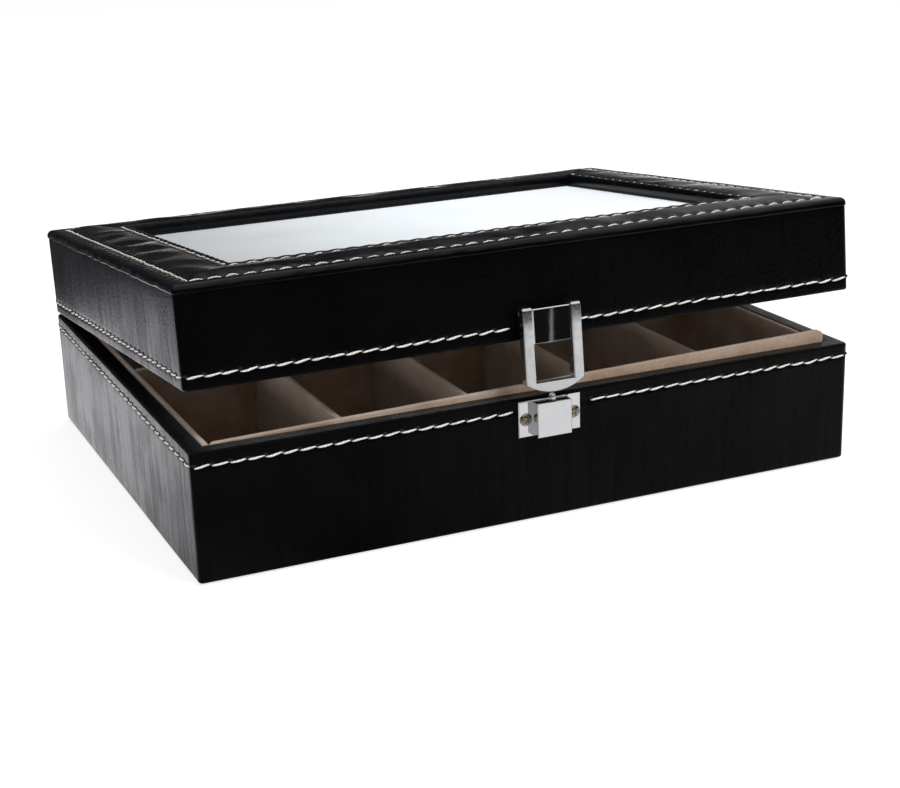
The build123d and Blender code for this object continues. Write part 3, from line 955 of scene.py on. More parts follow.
@dataclass(frozen=True)
class Glass:
    """Window glass: clear when looked into; along its surface a pale layer paints the reflection of the bright studio,
    with faint smears.

    Attributes:
        name: name of the material.
        tint: colour of the painted reflection along it.
    """

    name: str
    tint: Triple

    def build(self) -> bpy.types.Material:
        """Draws the material: clear glass gives way to a pale layer, a painted reflection, as the view grazes it; the
        layer is painted darker on the left and brighter to the right, with faint smears.

        Returns:
            The material.
        """
        material, sketch = new_material(self.name)
        place = sketch.node("TexCoord").outputs["Object"]
        smear = Smudges.place(sketch, place, 14.0)
        rough = sketch.ramp(smear.outputs["Shade"], 0.2, 0.8, 0.34, 0.42)
        values = {"Base Color": (0.93, 0.96, 0.97, 1.0), "Roughness": 0.02, "IOR": 1.5, "Transmission Weight": 1.0}
        clear = sketch.node("BsdfPrincipled", values)
        across = sketch.node("SeparateXYZ", {0: place}).outputs["X"]
        # painted reflection: the pale layer is darker on the left and brighter to the right, as the reflected studio
        # is
        painted_reflection_and_smears = sketch.ramp(across, -0.11, 0.03, 0.0, 0.9)
        painted_reflection_and_smears = sketch.math("MULTIPLY_ADD", smear.outputs["Shade"], 0.10, painted_reflection_and_smears)
        shade = sketch.blend(painted_reflection_and_smears, paint(self.tint, 0.48), paint(self.tint))
        reflection_film = sketch.node("BsdfPrincipled", {"Base Color": shade, "Roughness": rough, "Specular IOR Level": 0.3})
        facing = sketch.node("LayerWeight", {"Blend": 0.5}).outputs["Facing"]
        share = sketch.ramp(facing, 0.30, 0.80, 0.05, 0.97)
        dulled = sketch.math("MULTIPLY", sketch.node("LightPath").outputs["Is Diffuse Ray"], 0.93)
        share = sketch.math("MAXIMUM", share, dulled)
        both = sketch.node("MixShader", {0: share, 1: clear.outputs[0], 2: reflection_film.outputs[0]})
        sketch.show(both)
        return material


@dataclass(frozen=True)
class Board:
    """Painted or bare card, wood board and rubber.

    Attributes:
        name: name of the material.
        low: darker colour of the fibres.
        high: lighter colour.
        rough: roughness.
    """

    name: str
    low: Triple
    high: Triple
    rough: float = 0.7

    def build(self) -> bpy.types.Material:
        """Draws the material: stretched noise for the fibres, in colour and in bump.

        Returns:
            The material.
        """
        material, sketch = new_material(self.name)
        place = sketch.node("TexCoord").outputs["Object"]
        streaks = Streaks.place(sketch, place, 500.0)
        share = sketch.ramp(streaks.outputs["Height"], 0.35, 0.65, 0.0, 1.0)
        colour = sketch.blend(share, paint(self.low), paint(self.high))
        bump = sketch.node("Bump", {"Height": streaks.outputs["Height"], "Strength": 0.3, "Distance": 0.0001})
        values = {"Base Color": colour, "Roughness": self.rough, "Normal": bump.outputs[0], "Specular IOR Level": 0.2}
        sketch.show(sketch.node("BsdfPrincipled", values))
        return material


@dataclass
class Finishes:
    """All materials of the box, built once."""

    leather: bpy.types.Material = field(init=False)
    padded: bpy.types.Material = field(init=False)
    velvet: bpy.types.Material = field(init=False)
    felt: bpy.types.Material = field(init=False)
    thread: bpy.types.Material = field(init=False)
    chrome: bpy.types.Material = field(init=False)
    satin: bpy.types.Material = field(init=False)
    nickel: bpy.types.Material = field(init=False)
    cream: bpy.types.Material = field(init=False)
    steel: bpy.types.Material = field(init=False)
    glass: bpy.types.Material = field(init=False)
    rubber: bpy.types.Material = field(init=False)
    card: bpy.types.Material = field(init=False)
    board: bpy.types.Material = field(init=False)
    black_board: bpy.types.Material = field(init=False)

    def __post_init__(self) -> None:
        """Builds each finish."""
        black = (0.0014, 0.0014, 0.0018)
        self.leather = Leather("Black brushed leather", black, 0.055, 0.34, 900.0, 1.1, 0.42, 0.26, 0.12).build()
        bluish = (0.0014, 0.0014, 0.0022)
        self.padded = Leather("Black padded leather", bluish, 0.18, 0.24, 700.0, 0.06, 0.08, 0.022, 1.0).build()
        self.velvet = Pile("Beige velvet", (0.40, 0.262, 0.165), (0.57, 0.45, 0.375), 0.55).build()
        # this black felt also paints the shade inside the stitch holes
        self.felt = Pile("Black felt and painted hole shade", (0.006, 0.006, 0.007), (0.02, 0.02, 0.022), 0.1, 2400.0).build()
        self.thread = Thread("White thread", (0.60, 0.56, 0.51), (0.95, 0.93, 0.90)).build()
        self.chrome = Metal("Polished chrome", (0.86, 0.86, 0.88), 0.012, 0.012, 0.01).build()
        self.satin = Metal("Satin chrome", (0.76, 0.76, 0.77), 0.14, 0.14, 0.02, 0.085, 0.075).build()
        self.cream = Thread("Cream thread", (0.40, 0.35, 0.29), (0.74, 0.69, 0.62)).build()
        # nickel made darker and browner: a painted reflection of the brown velvet interior
        self.nickel = Metal("Nickel with painted brown reflection", (0.42, 0.35, 0.28), 0.14, 0.15, 0.06).build()
        self.steel = Metal("Spring steel", (0.55, 0.55, 0.57), 0.22, 0.12, 0.1).build()
        self.glass = Glass("Window glass", (0.92, 0.965, 1.0)).build()
        self.rubber = Board("Black rubber", (0.004, 0.004, 0.004), (0.009, 0.009, 0.009), 0.55).build()
        self.card = Board("Grey card", (0.22, 0.20, 0.17), (0.34, 0.31, 0.27)).build()
        self.board = Board("Fibre board", (0.26, 0.17, 0.10), (0.40, 0.28, 0.18)).build()
        self.black_board = Board("Black board", (0.005, 0.005, 0.006), (0.012, 0.012, 0.013)).build()

    def for_slot(self, slot: str) -> bpy.types.Material:
        """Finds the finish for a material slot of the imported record.

        Args:
            slot: name of the slot.

        Returns:
            The material.
        """
        return {
            "leather": self.leather, "padded_leather": self.padded, "wall_board": self.board, "pad_card": self.card,
            "velvet": self.velvet, "felt": self.felt, "rim_board": self.black_board, "gasket": self.rubber,
            "glass": self.glass, "chrome": self.chrome, "spring_steel": self.steel,
        }[slot]


# ---------------------------------------------------------------------------------------------
# Sub-assemblies
# ---------------------------------------------------------------------------------------------


def settle(piece: bpy.types.Object, finish: bpy.types.Material, body: str, node: str) -> None:
    """Dresses a piece and sets it on its body, in the place of a CAD node.

    Args:
        piece: the piece.
        finish: its material.
        body: the body that it rides on.
        node: the CAD node that it stands for.
    """
    piece.data.materials.append(finish)
    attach(piece, body)
    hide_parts(node)


@dataclass(frozen=True)
class Row:
    """One row of stitches all round the box.

    Attributes:
        name: name of the piece.
        inset: distance of the row from the outer faces, in millimetres.
        height: height of the surface that it lies on.
        lie: which way that surface faces.
        end_room: distance from the row's ends to the corner of its own rectangle.
        pitch: about the distance from one hole to the next.
        covered: stretches where fittings lie over the row, as side, start and end along the side.
        seed: of the unevenness.
        thick: radius of its thread.
        slant: how far the ends of a stitch are off the row, to either side.
        gap: bare leather between one stitch and the next.
        hump: how sharply a stitch rises: 0.5 for a flat back, 1 for a half wave.
        sunk: depth of its ends, in radii of the thread.
    """

    name: str
    inset: float
    height: float
    lie: Lie
    end_room: float
    pitch: float
    covered: tuple[tuple[Side, float, float], ...] = ()
    seed: int = 1
    thick: float = 0.38
    slant: float = 0.28
    gap: float = 0.15
    hump: float = 0.55
    sunk: float = 0.75

    def reach(self, side: Side) -> float:
        """Half the length of the row on a side."""
        half = SIZES.half_x if side.wide else SIZES.half_y
        return half - self.inset - self.end_room

    def exact_pitch(self, side: Side) -> float:
        """Distance between holes, so that a whole number of stitches fits on a side."""
        length = 2 * self.reach(side)
        return length / round(length / self.pitch)

    def hole_gap(self, along: np.ndarray, side: np.ndarray) -> np.ndarray:
        """Distance along the side from each point to the nearest hole of the row.

        Args:
            along: place along the side.
            side: side number of each point.

        Returns:
            The distances, in millimetres.
        """
        even = side % 2 == 0
        pitch = np.where(even, self.exact_pitch(Side.FRONT), self.exact_pitch(Side.LEFT))
        reach = np.where(even, self.reach(Side.FRONT), self.reach(Side.LEFT))
        share = (along + reach) / pitch
        return np.abs(share - np.round(share)) * pitch


@dataclass
class Stitching:
    """Saddle stitches of a row: short thick threads, each slanted and sunk in its holes at both ends.

    Attributes:
        row: where the stitches are, and how thick and slanted they lie.
        rings: rings along a stitch.
        around: points round a ring.
        hole_long: half length of a hole along the row.
        hole_wide: half its width.
        hole_off: how far the thread pulls a hole off the row.
        hole_floor: height of a hole's floor over the surface.
        hole_mouth: height of its mouth.
        tip: radius of a stitch's ends, as a share of its thickness.
        ply: share by which the plies swell it.
        twist: turns of the plies along a stitch.
        stray_start: how far starts stray, in millimetres, as a standard deviation like the next four.
        stray_length: how far lengths stray.
        stray_slant: how far slants stray, as a share.
        stray_bow: how far middles stray off the row, in millimetres.
        stray_high: how far heights stray, as a share.
    """

    row: Row
    rings: int = 8
    around: int = 8
    hole_long: float = 0.95
    hole_wide: float = 0.62
    hole_off: float = 0.55
    hole_floor: float = -0.50
    hole_mouth: float = -0.05
    tip: float = 0.38
    ply: float = 0.12
    twist: float = 0.85
    stray_start: float = 0.12
    stray_length: float = 0.16
    stray_slant: float = 0.28
    stray_bow: float = 0.10
    stray_high: float = 0.12

    def points(self) -> np.ndarray:
        """Rings of every stitch.

        With c going 0..1 along a stitch, its middle line goes evenly from hole to hole, crosses the row from
        -slant to +slant in a flat S, and stands over the surface by thick.((0.5 + s).sin(pi.c)^h - s), where s
        is sunk and h is hump. The thread's radius is thick.(tip + (1 - tip).sin(pi.c^0.8)^0.6), thinner where it
        rises from its first hole, with two plies that swell it and turn with c.

        Returns:
            Array of stitches, rings, points round a ring and coordinates, in millimetres.
        """
        draw = np.random.default_rng(self.row.seed)
        return np.concatenate([self._side(side, self._starts(side), draw) for side in Side])

    def shade_plugs(self) -> np.ndarray:
        """A short black plug in each hole paints the shade inside it: oval, and a hair under the surface.

        Returns:
            Array of holes, two rings of each hole's plug, points round a ring and coordinates, in millimetres.
        """
        angle = np.linspace(0.0, 2 * np.pi, self.around, endpoint=False)[None, :, None]
        shade_plugs = []
        for side in Side:
            along, normal, across, middle = self._frame(side)
            middle = middle + self.hole_off * across
            deep = np.array([self.hole_floor, self.hole_mouth])[:, None, None] * normal
            section = deep + self.hole_long * np.cos(angle) * along + self.hole_wide * np.sin(angle) * across
            shade_plugs.append((middle + self._starts(side)[:, None] * along)[:, None, None, :] + section[None])
        return np.concatenate(shade_plugs)

    def _starts(self, side: Side) -> np.ndarray:
        """Finds the stitches that show.

        Args:
            side: the side.

        Returns:
            Places along the side of their first holes.
        """
        reach, pitch = self.row.reach(side), self.row.exact_pitch(side)
        starts = np.arange(-reach, reach - pitch / 2, pitch)
        open_here = np.ones(len(starts), bool)
        for where, low, high in self.row.covered:
            if where is side:
                open_here &= (starts + pitch < low) | (starts > high)
        return starts[open_here]

    def _frame(self, side: Side) -> tuple[np.ndarray, np.ndarray, np.ndarray, np.ndarray]:
        """Finds how the row lies on a side.

        Args:
            side: the side.

        Returns:
            Directions along the row, out of its surface and across it, and its middle, in millimetres.
        """
        facing = facing_of(side.value)
        out = np.array([math.cos(facing), math.sin(facing), 0.0])
        along = np.array([-math.sin(facing), math.cos(facing), 0.0])
        up = np.array([0.0, 0.0, 1.0])
        normal, across = (out, up) if self.row.lie is Lie.UPRIGHT else (up, -out)
        half = (SIZES.half_y if side.wide else SIZES.half_x) - self.row.inset
        return along, normal, across, out * half + up * self.row.height

    def _side(self, side: Side, starts: np.ndarray, draw: np.random.Generator) -> np.ndarray:
        """The rings of the stitches on one side, as points() says.

        Args:
            side: the side.
            starts: places of their first holes.
            draw: source of the unevenness.

        Returns:
            The same array as points() gives, for this side.
        """
        count, pitch = len(starts), self.row.exact_pitch(side)
        along, normal, across, centre = self._frame(side)
        c = np.linspace(0.0, 1.0, self.rings)[None, :]
        arch = np.sin(np.pi * c)
        start = starts[:, None] + self.row.gap / 2 + draw.normal(0.0, self.stray_start, (count, 1))
        length = pitch - self.row.gap + draw.normal(0.0, self.stray_length, (count, 1))
        lean = self.row.slant * (1.0 + draw.normal(0.0, self.stray_slant, (count, 1)))
        bow = draw.normal(0.0, self.stray_bow, (count, 1))
        high = 1.0 + draw.normal(0.0, self.stray_high, (count, 1))
        off = lean * ((2 * c - 1) - 0.22 * np.sin(2 * np.pi * c)) + bow * arch
        lift = self.row.thick * ((0.5 + self.row.sunk) * high * arch**self.row.hump - self.row.sunk)
        middle = (
            centre[None, None, :]
            + (start + length * c)[..., None] * along
            + off[..., None] * across
            + lift[..., None] * normal
        )
        angle = np.linspace(0.0, 2 * np.pi, self.around, endpoint=False)[None, None, :]
        turn = 2 * np.pi * self.twist * c[..., None] + draw.uniform(0, 2 * np.pi, (count, 1, 1))
        body = self.tip + (1 - self.tip) * np.sin(np.pi * c**0.8) ** 0.6
        radius = self.row.thick * body[..., None] * (1 + self.ply * np.cos(2 * angle - turn))
        aside, over = (radius * np.cos(angle))[..., None], (radius * np.sin(angle))[..., None]
        return middle[:, :, None, :] + aside * across + over * normal


@dataclass
class Cover:
    """Leather wrapped round the walls of the base or of the lid.

    The cover is a closed profile carried round the box. Its outer faces wave a little, and they are drawn in
    along the stitch row: a trough exp(-(z/trough_wide)^2) of the distance z from the row, and at each hole a
    pit exp(-(r/pit_wide)^2) of the distance r from the hole.

    Attributes:
        name: name of the piece.
        node: the CAD node that it stands for.
        body: the body that it rides on.
        low: height of its lower edge.
        high: height of its upper edge.
        row: its stitch row.
        mouth_up: whether it is turned in at the top, as on the base.
        turned: how far it is turned over its closed edge.
        seed: of the waves.
        wavy: size of the waves, in millimetres.
        trough: depth of the trough.
        trough_wide: half width of the trough.
        pit: depth of a pit.
        pit_wide: radius of a pit.
        dull_wide: radius of the dull leather round a hole.
    """

    name: str
    node: str
    body: str
    low: float
    high: float
    row: Row
    mouth_up: bool
    turned: float
    seed: int
    wavy: float = 0.05
    trough: float = 0.22
    trough_wide: float = 1.0
    pit: float = 0.55
    pit_wide: float = 0.85
    dull_wide: float = 1.1

    def outline(self) -> np.ndarray:
        """Draws the closed profile, from the turned edge up the outer face and back inside.

        Returns:
            Inset from the outer face, and height, of each point.
        """
        s, t = SIZES, SIZES.leather
        near, far = (self.high, self.low) if self.mouth_up else (self.low, self.high)
        d = 1.0 if self.mouth_up else -1.0
        mouth, cavity = s.cavity_inset + t, s.cavity_inset
        row, band = self.row.height, 3.5 * d
        return rounded_loop([
            (self.turned, far, 0.1, 3.0), (0.0, far, s.rim if self.mouth_up else 0.35, 4.0),
            (0.0, row - band, 0.0, 0.5), (0.0, row + band, 0.0, 1.0), (0.0, near, s.rim, 1.5),
            (mouth, near, 0.45, 4.0), (mouth, near - d * s.turn_in, 0.1, 2.0),
            (cavity, near - d * s.turn_in, 0.1, 8.0), (cavity, near - d * t, 0.1, 3.0), (t, near - d * t, 0.3, 12.0),
            (t, far + d * t, 0.3, 4.0), (self.turned, far + d * t, 0.1, 2.0),
        ])

    def points(self) -> np.ndarray:
        """Carries the profile round the walls and draws its outer faces in, as the class says.

        Returns:
            The cover's points, stations first, in millimetres.
        """
        outline = self.outline()
        carried = WALL_PATH.carry(outline[:, 0])
        height = np.broadcast_to(outline[:, 1], carried.x.shape)
        on_face = 1.0 - smooth_step(0.02, 0.5, outline[:, 0])[None, :]
        off_corner = smooth_step(0.5, 4.0, carried.room)
        wave = Ripples(self.seed, 35.0, 120.0, 10).at(carried.along + SIDE_APART * carried.side, height)
        off_row = height - self.row.height
        hole = self.row.hole_gap(carried.along, carried.side)
        drawn = -self.trough * np.exp(-((off_row / self.trough_wide) ** 2))
        drawn = drawn - self.pit * np.exp(-(hole**2 + off_row**2) / self.pit_wide**2)
        outward = on_face * off_corner * (self.wavy * wave + drawn)
        return carried.points(height, outward)

    def holes(self) -> np.ndarray:
        """Nearness of every point to a stitch hole: exp(-(r/dull_wide)^4) of the distance r from it.

        Returns:
            1 in a hole and 0 away from it, per point.
        """
        outline = self.outline()
        carried = WALL_PATH.carry(outline[:, 0])
        off_row = np.broadcast_to(outline[:, 1], carried.x.shape) - self.row.height
        hole = self.row.hole_gap(carried.along, carried.side)
        return np.exp(-((hole**2 + off_row**2) / self.dull_wide**2) ** 2) * (outline[:, 0] < 0.5)[None, :]

    def build(self, turn: LidTurn | None, finish: bpy.types.Material) -> bpy.types.Object:
        """Makes the piece, dresses it and sets it on its body.

        Args:
            turn: the lid's turn for a piece of the lid, or None.
            finish: its material.

        Returns:
            The piece.
        """
        points = self.points()
        points = points if turn is None else turn.open(points)
        piece = ring_object(self.name, points, WALL_PATH.round_length(), measured(self.outline()))
        marks = piece.data.attributes.new("Hole", "FLOAT", "POINT")
        marks.data.foreach_set("value", self.holes().astype(np.float32).ravel())
        settle(piece, finish, self.body, self.node)
        return piece


@dataclass
class PaddedTop:
    """Padded leather frame round the window, crowned between its two stitch rows.

    With q the share of the way from the outer row to the inner one, the leather rises from margin to lip by
    (lip - margin).q, and over that by crown.(4q(1-q))^0.8. A cloth simulation of the strip adds its buckles.
    The leather is drawn in at the rows and at each hole, and it puckers: a wave with its troughs at the holes
    dies out within 4 mm of a row. Long slanted folds run over it, and beyond the inner row it is a roll.

    Attributes:
        outer: its outer stitch row.
        inner: its inner stitch row.
        margin: height over the seam outside the outer row, in millimetres.
        lip: height round the window.
        crown: height of the padding over these.
        overhang: how far it stands out over the walls.
        pad_turn: leather turned under the pad board.
        board_in: inset of the pad board.
        board_high: height of its upper face over the seam.
        steps: points of the simulated strip along a side.
        columns: points across it.
        frames: frames that are simulated.
        enlarged: times that the strip is enlarged for it.
        growth: share by which the strip grows.
        pressure: pressure of the air.
        held_near: distance from a hole within which the edge is held fast.
        loose: how fast it is held elsewhere, from 0 to 1.
        finest: number of waves round the box past which they are taken out.
        softened: number of times that neighbours are averaged across the strip.
        spread: standard deviation of the buckles.
        cap: highest and lowest buckle.
        trough: depth of the trough along a row.
        trough_wide: its half width.
        pit: depth of the pit at a hole.
        pit_wide: its radius.
        pucker: height of the puckers.
        margin_swell: height of the swelling outside the outer row.
        lip_swell: height of the roll inside the inner row.
        folds: the long slanted folds.
        swell: the slow swelling of the padding.
        edge_wave: the unevenness of the outer edge.
        edge_wavy: its size.
    """

    outer: Row
    inner: Row
    margin: float = 3.0
    lip: float = 3.6
    crown: float = 1.12
    overhang: float = 0.4
    pad_turn: float = 8.0
    board_in: float = 1.2
    board_high: float = 2.2
    steps: int = 138
    columns: int = 15
    frames: int = 20
    enlarged: float = 5.0
    growth: float = 0.012
    pressure: float = 4.0
    finest: float = 42.0
    held_near: float = 0.75
    loose: float = 0.35
    softened: int = 4
    spread: float = 0.12
    cap: float = 0.5
    trough: float = 0.22
    trough_wide: float = 0.6
    pit: float = 0.40
    pit_wide: float = 0.8
    pucker: float = 0.13
    margin_swell: float = 0.32
    lip_swell: float = 0.75
    folds: Ripples = Ripples(41, 22.0, 50.0, 12, 62.0, 20.0)
    swell: Ripples = Ripples(12, 30.0, 90.0, 10)
    edge_wave: Ripples = Ripples(17, 9.0, 34.0, 14)
    edge_wavy: float = 0.12

    def outline(self) -> np.ndarray:
        """Draws the closed profile, which goes round the pad board.

        Returns:
            Inset from the outer face, and height over the seam, of each point.
        """
        t, w = SIZES.leather, SIZES.window
        return rounded_loop([
            (self.pad_turn, 0.0, 0.1, 3.0), (-self.overhang, 0.0, 0.5, 0.6), (-self.overhang, self.margin, 2.0, 0.62),
            (w, self.margin, 1.0, 0.8), (w, 0.0, 0.3, 3.0), (w - self.pad_turn, 0.0, 0.1, 1.0),
            (w - self.pad_turn, t, 0.1, 3.0), (w - self.board_in, t, 0.1, 1.0),
            (w - self.board_in, self.board_high, 0.1, 6.0), (self.board_in, self.board_high, 0.1, 1.0),
            (self.board_in, t, 0.1, 3.0), (self.pad_turn, t, 0.1, 1.0),
        ])

    @staticmethod
    def fullness(share: np.ndarray) -> np.ndarray:
        """The padding's section, 0 at the rows and 1 between them: (4q(1-q))^0.8."""
        return (4.0 * share * (1.0 - share)) ** 0.8

    def rise(self, share: np.ndarray) -> np.ndarray:
        """Height of the smooth leather over the margin, at a share of the way from row to row."""
        return (self.lip - self.margin) * share + self.crown * self.fullness(share)

    def buckled(self) -> np.ndarray:
        """Heights by which the leather between the rows buckles, from a cloth simulation.

        The strip is a grid, held at the holes and loosely between them. It grows a little in every direction
        and is pushed up by air for 20 frames. What it rises by, less the mean along each line and the finest
        waves, is kept.

        Returns:
            The heights in millimetres, held within cap, with the grid's points round the box first.
        """
        share = np.linspace(0.0, 1.0, self.columns)[None, :]
        side = np.repeat(np.arange(4), self.steps)[:, None]
        place = np.tile(np.linspace(-1.0, 1.0, self.steps, endpoint=False), 4)[:, None]
        inset = self.outer.inset + share * (self.inner.inset - self.outer.inset)
        run = np.where(side % 2 == 0, SIZES.half_x, SIZES.half_y) - inset
        reach = np.where(side % 2 == 0, SIZES.half_y, SIZES.half_x) - inset
        facing = facing_of(side)
        x = np.cos(facing) * reach - np.sin(facing) * place * run
        y = np.sin(facing) * reach + np.cos(facing) * place * run
        start = self.rise(share) + 0.0 * x
        scale = self.enlarged * MM
        cells = np.arange(x.size).reshape(x.shape)
        ahead = np.roll(cells, -1, 0)
        quads = np.stack([cells[:, :-1], ahead[:, :-1], ahead[:, 1:], cells[:, 1:]], -1).reshape(-1, 4)
        mesh = bpy.data.meshes.new("strip")
        mesh.from_pydata((np.stack([x, y, start], -1) * scale).reshape(-1, 3).tolist(), [], quads.tolist())
        strip = bpy.data.objects.new("strip", mesh)
        bpy.context.scene.collection.objects.link(strip)
        held = strip.vertex_groups.new(name="held")
        for row, column in ((self.outer, 0), (self.inner, self.columns - 1)):
            near = row.hole_gap(place * run, side)[:, column] < self.held_near
            held.add(cells[near, column].tolist(), 1.0, "REPLACE")
            held.add(cells[~near, column].tolist(), self.loose, "REPLACE")
        self._blow(strip, held.name)
        settled = strip.evaluated_get(bpy.context.evaluated_depsgraph_get()).data
        spots = np.empty(x.size * 3, np.float32)
        settled.vertices.foreach_get("co", spots)
        bpy.data.objects.remove(strip)
        bpy.data.meshes.remove(mesh)
        bpy.context.scene.frame_set(1)
        return self._smoothed(spots.reshape(*x.shape, 3)[..., 2] / scale - start)

    def _blow(self, strip: bpy.types.Object, held: str) -> None:
        """Simulates the strip as cloth that air pushes up.

        Args:
            strip: the strip.
            held: name of the group that says how fast its points are held.
        """
        cloth = strip.modifiers.new("Cloth", "CLOTH")
        settings = cloth.settings
        settings.quality, settings.mass = 6, 0.2
        settings.tension_stiffness = settings.compression_stiffness = 15.0
        settings.shear_stiffness, settings.bending_stiffness = 7.5, 0.4
        settings.use_pressure, settings.uniform_pressure_force = True, self.pressure
        settings.effector_weights.gravity = 0.0
        settings.shrink_min = settings.shrink_max = -self.growth
        settings.vertex_group_mass = held
        cloth.point_cache.frame_start, cloth.point_cache.frame_end = 1, self.frames
        for frame in range(1, self.frames + 1):
            bpy.context.scene.frame_set(frame)

    def _smoothed(self, risen: np.ndarray) -> np.ndarray:
        """Takes the mean and the finest waves out of the heights and holds what is left within cap.

        Args:
            risen: the heights, with the points round the box first.

        Returns:
            The smooth heights, in millimetres.
        """
        waves = np.fft.rfft(risen - risen.mean(0), axis=0)
        waves *= np.exp(-((np.arange(len(waves)) / self.finest) ** 2))[:, None]
        risen = np.fft.irfft(waves, len(risen), axis=0)
        for _ in range(self.softened):
            risen[:, 1:-1] = (risen[:, :-2] + 2.0 * risen[:, 1:-1] + risen[:, 2:]) / 4.0
        risen = np.clip(risen * self.spread / risen.std(), -self.cap, self.cap)
        log.info("cloth of the padded top: %.2f to %.2f mm", risen.min(), risen.max())
        return risen

    def looked_up(self, grid: np.ndarray, carried: Carried, share: np.ndarray) -> np.ndarray:
        """Reads the buckled grid at every point, evenly between its own points.

        Args:
            grid: the heights from buckled().
            carried: the profile carried round the box.
            share: share of the way from row to row.

        Returns:
            The heights, in millimetres.
        """
        on_side = carried.along / (np.abs(carried.along) + carried.room)
        round_at = (carried.side + (on_side + 1.0) / 2.0) * self.steps
        across_at = share * (self.columns - 1)
        low_u = np.floor(round_at).astype(int)
        low_v = np.minimum(np.floor(across_at).astype(int), self.columns - 2)
        u, v = round_at - low_u, across_at - low_v
        here, ahead = low_u % len(grid), (low_u + 1) % len(grid)
        near = grid[here, low_v] * (1 - v) + grid[here, low_v + 1] * v
        far = grid[ahead, low_v] * (1 - v) + grid[ahead, low_v + 1] * v
        return near * (1 - u) + far * u

    def relief(self, inset: np.ndarray, carried: Carried) -> np.ndarray:
        """Height of the leather over the flat section, as the class says.

        Args:
            inset: distance in from the outer face.
            carried: the profile carried round the box.

        Returns:
            The heights, in millimetres.
        """
        share = np.clip((inset - self.outer.inset) / (self.inner.inset - self.outer.inset), 0.0, 1.0)
        height = self.rise(share) + self.looked_up(self.buckled(), carried, share)
        off_mitre = smooth_step(0.3, 5.0, carried.room)
        for row in (self.outer, self.inner):
            off_row = inset - row.inset
            hole = row.hole_gap(carried.along, carried.side)
            height = height - self.trough * np.exp(-((off_row / self.trough_wide) ** 2))
            height = height - off_mitre * self.pit * np.exp(-(hole**2 + off_row**2) / self.pit_wide**2)
            pucker = np.cos(2 * np.pi * hole / row.pitch) * np.exp(-((np.abs(off_row) - 1.2) / 1.5) ** 2)
            height = height - off_mitre * self.pucker * pucker
        margin = np.clip((inset + self.overhang) / (self.outer.inset + self.overhang), 0.0, 1.0)
        height = height + self.margin_swell * np.sin(np.pi * margin**1.3) ** 2 * (inset < self.outer.inset)
        lip = np.clip((inset - self.inner.inset) / (SIZES.window - self.inner.inset), 0.0, 1.0)
        height = height + self.lip_swell * np.sin(np.pi * lip**0.8) ** 0.8 * (inset > self.inner.inset)
        folds = self.folds.at(carried.x, carried.y)
        swell = self.swell.at(carried.x, carried.y)
        return height + self.fullness(share) * (0.12 - 0.16 * np.sqrt(folds**2 + 0.08) + 0.10 * swell)

    def points(self) -> np.ndarray:
        """Carries the profile round the box and adds the relief to its upper face.

        Returns:
            The padded top's points with the lid closed, stations first, in millimetres.
        """
        outline = self.outline()
        carried = TOP_PATH.carry(outline[:, 0])
        inset = np.broadcast_to(outline[:, 0], carried.x.shape)
        on_top = smooth_step(2.35, 2.95, outline[:, 1])[None, :]
        height = SIZES.seam + outline[:, 1] + on_top * self.relief(inset, carried)
        edge = (outline[:, 0] < 0.3) & (outline[:, 1] < self.board_high)
        wave = self.edge_wave.at(carried.along + SIDE_APART * carried.side, height)
        off_corner = smooth_step(0.5, 4.0, carried.room)
        return carried.points(height, self.edge_wavy * wave * edge[None, :] * off_corner)

    def build(self, turn: LidTurn, finish: bpy.types.Material) -> bpy.types.Object:
        """Makes the piece, dresses it and sets it on the lid.

        Args:
            turn: the lid's turn.
            finish: its material.

        Returns:
            The piece.
        """
        points = turn.open(self.points())
        piece = ring_object("padded_top", points, TOP_PATH.round_length(), measured(self.outline()))
        settle(piece, finish, "lid", "padded_frame")
        return piece


@dataclass
class BallSpring:
    """Spring under the catch ball, made at one length, though the real one shortens as the ball is pressed.

    Attributes:
        wire: thickness of its wire, in millimetres.
        turns: number of turns.
        travel: how far the ball presses it; not used.
        round_turn: rings of points in a turn.
        around: points round the wire.
    """

    wire: float = 0.4
    turns: int = 4
    travel: float = 1.2
    round_turn: int = 20
    around: int = 8

    def build(self, finish: bpy.types.Material) -> bpy.types.Object:
        """Makes the spring in the room of its CAD node and sets it on the base.

        With c going 0..1 along the wire, its middle line is at the angle 2.pi.turns.c on a circle, and rises
        evenly with c. Each ring of points lies in the plane of the axis and the middle line's point.

        Args:
            finish: its material.

        Returns:
            The piece.
        """
        low, high = (np.array(corner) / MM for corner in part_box("catch_spring"))
        centre = (low + high) / 2.0
        half = self.wire / 2.0
        c = np.linspace(0.0, 1.0, self.turns * self.round_turn + 1)[:, None]
        angle = 2.0 * np.pi * self.turns * c
        spin = np.linspace(0.0, 2.0 * np.pi, self.around, endpoint=False)[None, :]
        reach = (high[0] - low[0]) / 2.0 - half + half * np.cos(spin)
        rise = low[2] + half + (high[2] - low[2] - self.wire) * c + half * np.sin(spin)
        points = np.stack([centre[0] + reach * np.cos(angle), centre[1] + reach * np.sin(angle), rise], -1)
        piece = tube_object("ball_spring", points[None])
        settle(piece, finish, "base", "catch_spring")
        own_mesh(piece)
        return piece


